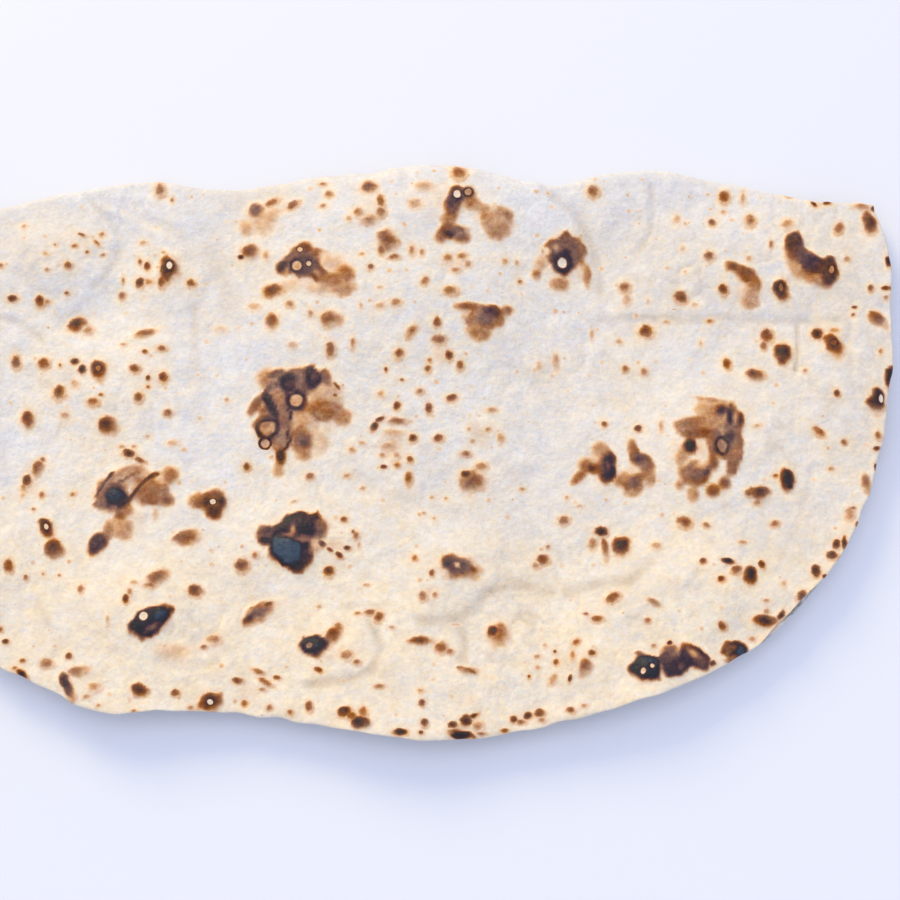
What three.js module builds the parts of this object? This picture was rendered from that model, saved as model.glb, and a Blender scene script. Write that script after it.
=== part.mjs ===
import * as THREE from "three";
import { mergeVertices } from "three/addons/utils/BufferGeometryUtils.js";

// A large soft flatbread: one thin oval sheet, baked and then folded once in half.
// It lies on z = 0 with the fold at the back (+Y) and the open rim to the front (-Y).
// All sizes are in millimetres.

const doughThickness = 2.2;
const foldInsideHeight = 6; // clear height inside the fold
const rimThinning = 0.3; // how much thinner the dough is at the open rim
const lowerLeafLength = 0.965; // the lower leaf stops short of the upper one
const lowerLeafWidth = 0.98;
const leafClearance = 1.3; // air between the two leaves where they lie together
const foldRelaxLength = 50; // over this length the upper leaf sinks from the fold
const innerSkinShare = 0.1; // share of a bubble's height that its inner skin rises too
const bubbleStart = 0.25; // share of the bend's turn, from below, that has no bubble
const rimLift = 7; // the stiff rim curls up by this much
const restingShare = 0.62; // inner share of the lower leaf that lies flat
const rimRounding = 6; // higher keeps the curl nearer to the rim at the corners
const rimWaveHeight = 1.6;
const rimWaves = 7;

const columns = 40; // mesh cells along the fold
const lowerRows = 15;
const foldRows = 8;
const upperRows = 24;
const sideShare = 0.265; // share of the rim that belongs to each end of the leaf

// The back edge of the folded bread, from its left end to its right end, seen from above.
const foldEdge = [
  [-238, 123], [-197, 130], [-160, 141], [-123, 147], [-85, 141], [-36, 140.5], [-8, 139.5], [24, 146],
  [84, 143], [102, 149.5], [128, 153], [180, 143], [214, 134.5], [243, 132],
];

// The open rim of the upper leaf, from the right end of the fold round to the left end.
const openRim = [
  [246.5, 103], [244.5, 71], [241.5, 38], [230.5, -10], [210, -56], [166, -100], [147, -111],
  [122, -122], [96, -130], [64, -138], [20, -142.5], [-40, -133.5], [-76, -129],
  [-128, -129.5], [-148, -121], [-176, -107], [-212, -74], [-237, -16], [-247, 50],
];

// Bubbles of the upper leaf, each an oval dome at x, y that lifts the outer skin.
const bubbles = [
  { x: 4, y: 92, halfWidth: 112, halfDepth: 110, height: 17 }, // fills out the fold
  { x: -163, y: 98, halfWidth: 36, halfDepth: 32, height: 7 },
  { x: -112, y: 92, halfWidth: 30, halfDepth: 34, height: 4 },
  { x: 170, y: 98, halfWidth: 72, halfDepth: 42, height: 6 },
  { x: -126, y: 38, halfWidth: 56, halfDepth: 38, height: 4.5 },
  { x: 150, y: 2, halfWidth: 60, halfDepth: 46, height: 4.5 },
  { x: 26, y: 4, halfWidth: 66, halfDepth: 42, height: 4 },
  { x: 222, y: 30, halfWidth: 30, halfDepth: 44, height: 3.5 },
  { x: -44, y: -48, halfWidth: 42, halfDepth: 32, height: 5 },
  { x: 34, y: -62, halfWidth: 34, halfDepth: 26, height: 4.5 },
  { x: -112, y: -80, halfWidth: 40, halfDepth: 28, height: 4.5 },
  { x: 124, y: -72, halfWidth: 52, halfDepth: 30, height: 4 },
  { x: 78, y: -104, halfWidth: 36, halfDepth: 24, height: 3 },
  { x: -212, y: 6, halfWidth: 38, halfDepth: 56, height: 4 },
  { x: -180, y: -58, halfWidth: 36, halfDepth: 32, height: 3.5 },
];

const dough = new THREE.MeshStandardMaterial({ color: 0xf0e8e0, roughness: 0.85, metalness: 0 });

function ease(t) {
  const s = THREE.MathUtils.clamp(t, 0, 1);
  return s * s * s * (s * (6 * s - 15) + 10);
}

// A dome that is 1 in the middle and falls to 0, with no edge, at the distance 1.
function dome(distanceSquared) {
  return distanceSquared < 1 ? (1 - distanceSquared) ** 2 : 0;
}

function curveThrough(points) {
  const curve = new THREE.CatmullRomCurve3(points.map(([x, y]) => new THREE.Vector3(x, y, 0)));
  curve.curveType = "centripetal";
  curve.arcLengthDivisions = 400;
  return curve;
}

const foldCurve = curveThrough(foldEdge);
const bendRadius = (foldInsideHeight + doughThickness) / 2; // to the middle of the dough
const bendTop = doughThickness / 2 + 2 * bendRadius;

// The line where the upper leaf leaves the bend, u = 0 at the left end and 1 at the right.
function bendLine(u) {
  const edge = foldCurve.getPointAt(u);
  edge.y -= doughThickness / 2 + bendRadius;
  return edge;
}

const leftEnd = bendLine(0);
const rightEnd = bendLine(1);
const rimCurve = curveThrough([[rightEnd.x, rightEnd.y], ...openRim, [leftEnd.x, leftEnd.y]]);

// A point of the upper leaf seen from above: v = 0 at the bend and 1 at the front rim.
// The four borders of the leaf are blended, so the cells follow the rim all round.
function leafPoint(u, v) {
  const back = bendLine(u);
  const front = rimCurve.getPointAt(1 - sideShare - u * (1 - 2 * sideShare));
  const left = rimCurve.getPointAt(1 - v * sideShare);
  const right = rimCurve.getPointAt(v * sideShare);
  const frontLeft = rimCurve.getPointAt(1 - sideShare);
  const frontRight = rimCurve.getPointAt(sideShare);
  const point = back.multiplyScalar(1 - v).addScaledVector(front, v);
  point.addScaledVector(left, 1 - u).addScaledVector(right, u);
  point.addScaledVector(leftEnd, -(1 - u) * (1 - v)).addScaledVector(rightEnd, -u * (1 - v));
  point.addScaledVector(frontLeft, -(1 - u) * v).addScaledVector(frontRight, -u * v);
  return point;
}

// 0 in the middle of a leaf and 1 all along its open rim.
function nearRim(u, v) {
  const across = Math.abs(2 * u - 1);
  const sum = across ** rimRounding + v ** rimRounding - (across * v) ** rimRounding;
  return sum ** (1 / rimRounding);
}

// Height of the middle of the lower leaf: flat where it rests, curling up at the rim.
function lowerHeight(u, v) {
  const curl = ease((nearRim(u, v) - restingShare) / (1 - restingShare));
  return doughThickness / 2 + rimLift * curl;
}

// Height of the middle of the upper leaf, with no bubbles.
function upperHeight(u, v, y) {
  const wave = rimWaveHeight * (1 + Math.sin(rimWaves * Math.PI * u + 3 * v));
  const lying = lowerHeight(u, v) + doughThickness + leafClearance + wave * ease(nearRim(u, v));
  return THREE.MathUtils.lerp(bendTop, lying, ease((bendLine(u).y - y) / foldRelaxLength));
}

// How far the bubbles lift the outer skin at a point of the upper leaf or the bend.
function puff(point) {
  let height = 0;
  for (const bubble of bubbles) {
    const across = (point.x - bubble.x) / bubble.halfWidth;
    const along = (point.y - bubble.y) / bubble.halfDepth;
    height += bubble.height * dome(across * across + along * along);
  }
  return height;
}

function upperLeaf(u, v) {
  const point = leafPoint(u, v);
  point.z = upperHeight(u, v, point.y);
  return point;
}

function lowerLeaf(u, v) {
  const point = leafPoint(u, v);
  const back = bendLine(u);
  point.y = back.y - (back.y - point.y) * lowerLeafLength;
  point.x *= THREE.MathUtils.lerp(1, lowerLeafWidth, ease(v));
  point.z = lowerHeight(u, v);
  return point;
}

// The round bend between the leaves, turn = 0 at the lower leaf and 1 at the upper one.
function bend(u, turn) {
  const point = bendLine(u);
  const angle = Math.PI * (turn - 0.5);
  point.y += bendRadius * Math.cos(angle);
  point.z = THREE.MathUtils.lerp(lowerHeight(u, 0), bendTop, (1 + Math.sin(angle)) / 2);
  return point;
}

// The middle of the dough, row by row from the lower rim round the bend to the upper rim.
function sheetRows() {
  const rows = [];
  for (let row = lowerRows; row > 0; row--) {
    rows.push((u) => lowerLeaf(u, row / lowerRows));
  }
  for (let row = 0; row <= foldRows; row++) {
    rows.push((u) => bend(u, row / foldRows));
  }
  for (let row = 1; row <= upperRows; row++) {
    rows.push((u) => upperLeaf(u, row / upperRows));
  }
  return rows.map((place) => {
    return Array.from({ length: columns + 1 }, (_, column) => place(column / columns));
  });
}

// The direction out of the folded bread: down on the lower leaf and up on the upper one.
function sheetNormal(rows, row, column) {
  const last = rows.length - 1;
  const along = rows[row][Math.min(column + 1, columns)].clone();
  along.sub(rows[row][Math.max(column - 1, 0)]);
  const across = rows[Math.min(row + 1, last)][column].clone();
  across.sub(rows[Math.max(row - 1, 0)][column]);
  return across.cross(along).normalize();
}

// The solid: the sheet moved half its thickness to each side, with a rounded rim between.
// The bubbles grow out of the upper part of the bend and of the whole upper leaf.
function foldedSheet() {
  const rows = sheetRows();
  const last = rows.length - 1;
  const outer = [];
  const inner = [];
  for (let row = 0; row <= last; row++) {
    outer.push([]);
    inner.push([]);
    for (let column = 0; column <= columns; column++) {
      const atRim = row === 0 || row === last || column === 0 || column === columns;
      const half = (doughThickness / 2) * (atRim ? 1 - rimThinning : 1);
      const normal = sheetNormal(rows, row, column);
      const point = rows[row][column];
      const turn = (row - lowerRows) / foldRows;
      const lift = puff(point) * ease((turn - bubbleStart) / (1 - 2 * bubbleStart));
      outer[row].push(point.clone().addScaledVector(normal, half + lift));
      inner[row].push(point.clone().addScaledVector(normal, lift * innerSkinShare - half));
    }
  }

  const corners = [];
  function addQuad(a, b, c, d) {
    for (const corner of [a, b, c, a, c, d]) {
      corners.push(corner.x, corner.y, corner.z);
    }
  }
  for (let row = 0; row < last; row++) {
    for (let column = 0; column < columns; column++) {
      const next = column + 1;
      addQuad(outer[row][column], outer[row + 1][column], outer[row + 1][next], outer[row][next]);
      addQuad(inner[row][column], inner[row][next], inner[row + 1][next], inner[row + 1][column]);
    }
  }

  const rim = rimPlaces(last);
  const tips = rim.map(([row, column]) => {
    const inRow = THREE.MathUtils.clamp(row, 1, last - 1);
    const inColumn = THREE.MathUtils.clamp(column, 1, columns - 1);
    const outward = rows[row][column].clone().sub(rows[inRow][inColumn]).normalize();
    return rows[row][column].clone().addScaledVector(outward, doughThickness / 3);
  });
  rim.forEach(([row, column], index) => {
    const following = (index + 1) % rim.length;
    const [nextRow, nextColumn] = rim[following];
    addQuad(outer[row][column], outer[nextRow][nextColumn], tips[following], tips[index]);
    addQuad(tips[index], tips[following], inner[nextRow][nextColumn], inner[row][column]);
  });

  const geometry = new THREE.BufferGeometry();
  geometry.setAttribute("position", new THREE.Float32BufferAttribute(corners, 3));
  return geometry;
}

// Row and column of each point of the rim, once round the sheet.
function rimPlaces(last) {
  const places = [];
  for (let column = 0; column < columns; column++) {
    places.push([0, column]);
  }
  for (let row = 0; row < last; row++) {
    places.push([row, columns]);
  }
  for (let column = columns; column > 0; column--) {
    places.push([last, column]);
  }
  for (let row = last; row > 0; row--) {
    places.push([row, 0]);
  }
  return places;
}

// The origin goes to the middle of the bread's outline, at its lowest point.
function placeAtOrigin(geometry) {
  geometry.computeBoundingBox();
  const { min, max } = geometry.boundingBox;
  geometry.translate(-(min.x + max.x) / 2, -(min.y + max.y) / 2, -min.z);
  return geometry;
}

const group = new THREE.Group();
const geometry = placeAtOrigin(mergeVertices(foldedSheet(), 1e-4));
geometry.computeVertexNormals();
const lavash = new THREE.Mesh(geometry, dough);
lavash.name = "lavash";
group.add(lavash);

export default group;
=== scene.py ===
import math
import bpy
import numpy as np
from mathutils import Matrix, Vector


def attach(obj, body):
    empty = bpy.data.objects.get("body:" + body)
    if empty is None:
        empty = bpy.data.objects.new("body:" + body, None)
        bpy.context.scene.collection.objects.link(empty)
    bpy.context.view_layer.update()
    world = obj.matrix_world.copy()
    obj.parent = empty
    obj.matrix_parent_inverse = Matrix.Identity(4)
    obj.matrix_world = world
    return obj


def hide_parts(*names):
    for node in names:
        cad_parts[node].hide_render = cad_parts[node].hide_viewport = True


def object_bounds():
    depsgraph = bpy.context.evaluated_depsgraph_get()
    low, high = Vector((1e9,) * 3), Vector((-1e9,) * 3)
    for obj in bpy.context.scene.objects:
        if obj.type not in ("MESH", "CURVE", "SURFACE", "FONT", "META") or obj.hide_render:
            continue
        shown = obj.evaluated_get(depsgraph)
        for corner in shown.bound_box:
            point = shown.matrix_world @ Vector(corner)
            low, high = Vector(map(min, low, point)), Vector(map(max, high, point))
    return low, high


# A thin lavash folded once in half, lying on a plain pale floor.
# The bread is worked out in millimetres and moved to metres at the end.

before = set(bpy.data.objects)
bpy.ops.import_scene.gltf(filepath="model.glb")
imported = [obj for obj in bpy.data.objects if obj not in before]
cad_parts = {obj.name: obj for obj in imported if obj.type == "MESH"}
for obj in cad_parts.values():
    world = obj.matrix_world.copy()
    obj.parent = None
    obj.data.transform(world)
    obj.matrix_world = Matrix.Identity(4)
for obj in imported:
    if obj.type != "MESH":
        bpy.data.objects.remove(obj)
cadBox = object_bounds()
mm = 0.001
cadLow = np.array(cadBox[0]) / mm
cadHigh = np.array(cadBox[1]) / mm

print("frame loaded, bread box in mm:", cadLow.round(1), cadHigh.round(1))

# where the bread is seen from
view = {
    "pictureSize": 900,     # pixels along each side of the square picture
    "lensAngle": 28.0,      # degrees from the left edge to the right edge
    "elevation": 68.0,      # degrees above the floor
    "mmPerPixel": 0.478,    # at the middle of the picture
    "aim": (29.0, 0.0, 6.0),    # the place in the middle of the picture, in mm
    "sensor": 36.0,
}

viewTilt = math.radians(view["elevation"])
pixelFocus = view["pictureSize"] / 2 / math.tan(math.radians(view["lensAngle"] / 2))
viewForward = np.array([0.0, math.cos(viewTilt), -math.sin(viewTilt)])
viewUp = np.array([0.0, math.sin(viewTilt), math.cos(viewTilt)])
viewEye = np.array(view["aim"]) - viewForward * pixelFocus * view["mmPerPixel"]


def pictureX(points):
    away = points - viewEye
    return view["pictureSize"] / 2 + pixelFocus * away[..., 0] / (away @ viewForward)


def pictureY(points):
    away = points - viewEye
    return view["pictureSize"] / 2 - pixelFocus * (away @ viewUp) / (away @ viewForward)


def addCamera(shift):
    bpy.ops.object.camera_add(location=(viewEye + shift) * mm)
    camera = bpy.context.object
    camera.name = "viewCamera"
    camera.rotation_euler = Vector(viewForward).to_track_quat("-Z", "Y").to_euler()
    camera.data.sensor_width = view["sensor"]
    camera.data.lens = view["sensor"] / 2 / math.tan(math.radians(view["lensAngle"] / 2))
    bpy.context.scene.camera = camera


def soft(low, high, x):
    # rises smoothly from 0 at low to 1 at high
    s = np.clip((x - low) / (high - low), 0.0, 1.0)
    return s * s * (3 - 2 * s)


def ease(t):
    # the same from 0 to 1, with softer ends
    s = np.clip(t, 0.0, 1.0)
    return s * s * s * (s * (6 * s - 15) + 10)


def dome(distanceSquared):
    # a smooth hump, 1 in its middle and 0 from a distance of 1 on
    return np.clip(1 - distanceSquared, 0.0, None) ** 2


def unevenness(x, y, size, seed):
    # smooth random hills between -1 and 1, about size across
    n = 128
    hills = np.random.default_rng(seed).uniform(-1, 1, (n, n))
    x = x / size + 64.3
    y = y / size + 64.7
    i = np.floor(x).astype(int)
    j = np.floor(y).astype(int)
    a = soft(0, 1, x - i)
    b = soft(0, 1, y - j)
    near = hills[j % n, i % n] * (1 - a) + hills[j % n, (i + 1) % n] * a
    far = hills[(j + 1) % n, i % n] * (1 - a) + hills[(j + 1) % n, (i + 1) % n] * a
    return near * (1 - b) + far * b


def curveThrough(points):
    # a smooth line through the points, to be read by the share of its length
    p = np.array(points, float)
    p = np.vstack([2 * p[0] - p[1], p, 2 * p[-1] - p[-2]])
    line = []
    t = np.linspace(0, 1, 40, endpoint=False)[:, None]
    for a, b, c, d in zip(p, p[1:], p[2:], p[3:]):
        ab, bc, cd = [np.linalg.norm(q) ** 0.5 for q in (b - a, c - b, d - c)]
        leave = ((b - a) / ab - (c - a) / (ab + bc) + (c - b) / bc) * bc
        reach = ((c - b) / bc - (d - b) / (bc + cd) + (d - c) / cd) * bc
        line.append(b + t * leave + t**2 * (3 * (c - b) - 2 * leave - reach)
                    + t**3 * (2 * (b - c) + leave + reach))
    line = np.vstack(line + [p[-2]])
    walked = np.concatenate([[0], np.cumsum(np.linalg.norm(np.diff(line, axis=0), axis=1))])
    walked /= walked[-1]
    return lambda share: np.stack([np.interp(share, walked, line[:, k]) for k in (0, 1)], -1)


# the folded sheet, in mm
bread = {
    "thickness": 2.2,
    "foldInside": 6.0,      # clear height inside the fold
    "rimShares": (0.45, 0.75, 0.92, 1.0),   # share of the thickness on the rim and the rows next to it
    "rimSteps": (0.35, 0.5, 0.75),          # length of the cells next to the rim
    "lowerLength": 0.965,   # the lower leaf is a little shorter than the upper one
    "lowerWidth": 0.98,
    "clearance": 1.3,       # air between the leaves
    "relaxLength": 50.0,    # from the fold to where the upper leaf lies flat
    "bubbleStart": 0.25,    # share of the fold's turn that has no bubble
    "rimLift": 7.0,         # how far the open rim curls up
    "restingShare": 0.62,   # how far out a leaf lies flat
    "rimRounding": 6,       # higher keeps the curl nearer to the rim at the corners
    "rimWave": 1.6,         # height of the waves along the rim
    "rimWaves": 7,
    "sideShare": 0.265,     # share of the rim's length that bounds each side
    "ruffle": 0.9,          # how far the rim wanders in and out, and the size of one wave
    "ruffleSize": 9,
    "ruffleRise": 0.8,      # the same up and down
    "ruffleRiseSize": 13,
    "ruffleRows": 14,       # rows and columns from the rim that take part
    "reliefLimits": (-0.9, 3.0),
    "columns": 400,         # cells along the fold, and across each part of the sheet
    "lowerRows": 56,
    "bendRows": 14,
    "upperRows": 204,
    "mostTriangles": 192000,
    "insideThinning": 1.0,  # how readily faces are given up inside the fold, and underneath
    "underThinning": 0.6,
}

# the back edge from left to right, and the open rim from right to left, seen from above
foldEdge = [
    (-238, 123), (-197, 130), (-160, 141), (-123, 147), (-85, 141), (-36, 140.5), (-8, 139.5), (24, 146),
    (84, 143), (102, 149.5), (128, 153), (180, 143), (214, 134.5), (243, 132),
]
openRim = [
    (246.5, 103), (244.5, 71), (241.5, 38), (230.5, -10), (210, -56), (166, -100), (147, -111),
    (122, -122), (96, -130), (64, -138), (20, -142.5), (-40, -133.5), (-76, -129),
    (-128, -129.5), (-148, -121), (-176, -107), (-212, -74), (-237, -16), (-247, 50),
]

# bubbles of the upper leaf: middle, half width, half depth, height
bubbles = [
    (4, 92, 112, 110, 17), (-163, 98, 36, 32, 7), (-112, 92, 30, 34, 4),
    (170, 98, 72, 42, 6), (-126, 38, 56, 38, 4.5), (150, 2, 60, 46, 4.5),
    (26, 4, 66, 42, 4), (222, 30, 30, 44, 3.5), (-44, -48, 42, 32, 5),
    (34, -62, 34, 26, 4.5), (-112, -80, 40, 28, 4.5), (124, -72, 52, 30, 4),
    (78, -104, 36, 24, 3), (-212, 6, 38, 56, 4), (-180, -58, 36, 32, 3.5),
]

foldCurve = curveThrough(foldEdge)
bendRadius = (bread["foldInside"] + bread["thickness"]) / 2
bendTop = bread["thickness"] / 2 + 2 * bendRadius
foldInset = np.array([0, bread["thickness"] / 2 + bendRadius])


def bendLine(u):
    return foldCurve(u) - foldInset


leftEnd = bendLine(0.0)
rightEnd = bendLine(1.0)
rimCurve = curveThrough([rightEnd, *openRim, leftEnd])


def leafPlan(u, v):
    # u runs along the fold, v from the fold to the front rim
    side = bread["sideShare"]
    a = u[..., None]
    b = v[..., None]
    plan = bendLine(u) * (1 - b) + rimCurve(1 - side - u * (1 - 2 * side)) * b
    plan = plan + rimCurve(1 - v * side) * (1 - a) + rimCurve(v * side) * a
    plan = plan - leftEnd * (1 - a) * (1 - b) - rightEnd * a * (1 - b)
    return plan - rimCurve(1 - side) * (1 - a) * b - rimCurve(side) * a * b


def nearRim(u, v):
    # 0 in the middle of the fold, 1 on the open rim
    across = np.abs(2 * u - 1)
    power = bread["rimRounding"]
    return (across**power + v**power - (across * v) ** power) ** (1 / power)


def lowerHeight(u, v):
    curl = ease((nearRim(u, v) - bread["restingShare"]) / (1 - bread["restingShare"]))
    return bread["thickness"] / 2 + bread["rimLift"] * curl


def upperHeight(u, v, y):
    wave = bread["rimWave"] * (1 + np.sin(bread["rimWaves"] * math.pi * u + 3 * v))
    lying = lowerHeight(u, v) + bread["thickness"] + bread["clearance"]
    lying = lying + wave * ease(nearRim(u, v))
    relaxed = ease((bendLine(u)[..., 1] - y) / bread["relaxLength"])
    return bendTop + (lying - bendTop) * relaxed


def puff(x, y):
    height = np.zeros_like(x)
    for middleX, middleY, halfWidth, halfDepth, high in bubbles:
        across = (x - middleX) / halfWidth
        along = (y - middleY) / halfDepth
        height += high * dome(across**2 + along**2)
    return height


def cellShares(cells, fineAtStart, fineAtEnd):
    # even steps from 0 to 1, with shorter ones where the sheet ends in a rounded rim
    steps = np.ones(cells)
    fine = np.array(bread["rimSteps"])
    if fineAtStart:
        steps[:len(fine)] = fine
    if fineAtEnd:
        steps[-len(fine):] = fine[::-1]
    return np.concatenate([[0], np.cumsum(steps)]) / steps.sum()


def middleOfSheet():
    # the middle of the dough, row by row from the lower rim round the fold to the upper rim
    columnShare = cellShares(bread["columns"], True, True)
    lowerShare = cellShares(bread["lowerRows"], False, True)[:0:-1]
    turnShare = cellShares(bread["bendRows"], False, False)
    upperShare = cellShares(bread["upperRows"], False, True)[1:]

    u, v = np.meshgrid(columnShare, lowerShare)
    plan = leafPlan(u, v)
    back = bendLine(u)[..., 1]
    lowerY = back - (back - plan[..., 1]) * bread["lowerLength"]
    lowerX = plan[..., 0] * (1 + (bread["lowerWidth"] - 1) * ease(v))
    lower = np.stack([lowerX, lowerY, lowerHeight(u, v)], -1)

    u, turn = np.meshgrid(columnShare, turnShare)
    line = bendLine(u)
    angle = math.pi * (turn - 0.5)
    bendLow = lowerHeight(u, np.zeros_like(u))
    bendZ = bendLow + (bendTop - bendLow) * (1 + np.sin(angle)) / 2
    bend = np.stack([line[..., 0], line[..., 1] + bendRadius * np.cos(angle), bendZ], -1)

    u, v = np.meshgrid(columnShare, upperShare)
    plan = leafPlan(u, v)
    upper = np.stack([plan[..., 0], plan[..., 1], upperHeight(u, v, plan[..., 1])], -1)
    return np.concatenate([lower, bend, upper])


def outwardOf(sheet):
    # down on the lower leaf, up on the upper one
    along = np.gradient(sheet, axis=1)
    across = np.gradient(sheet, axis=0)
    normal = np.cross(across, along)
    return normal / np.linalg.norm(normal, axis=-1, keepdims=True)


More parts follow.
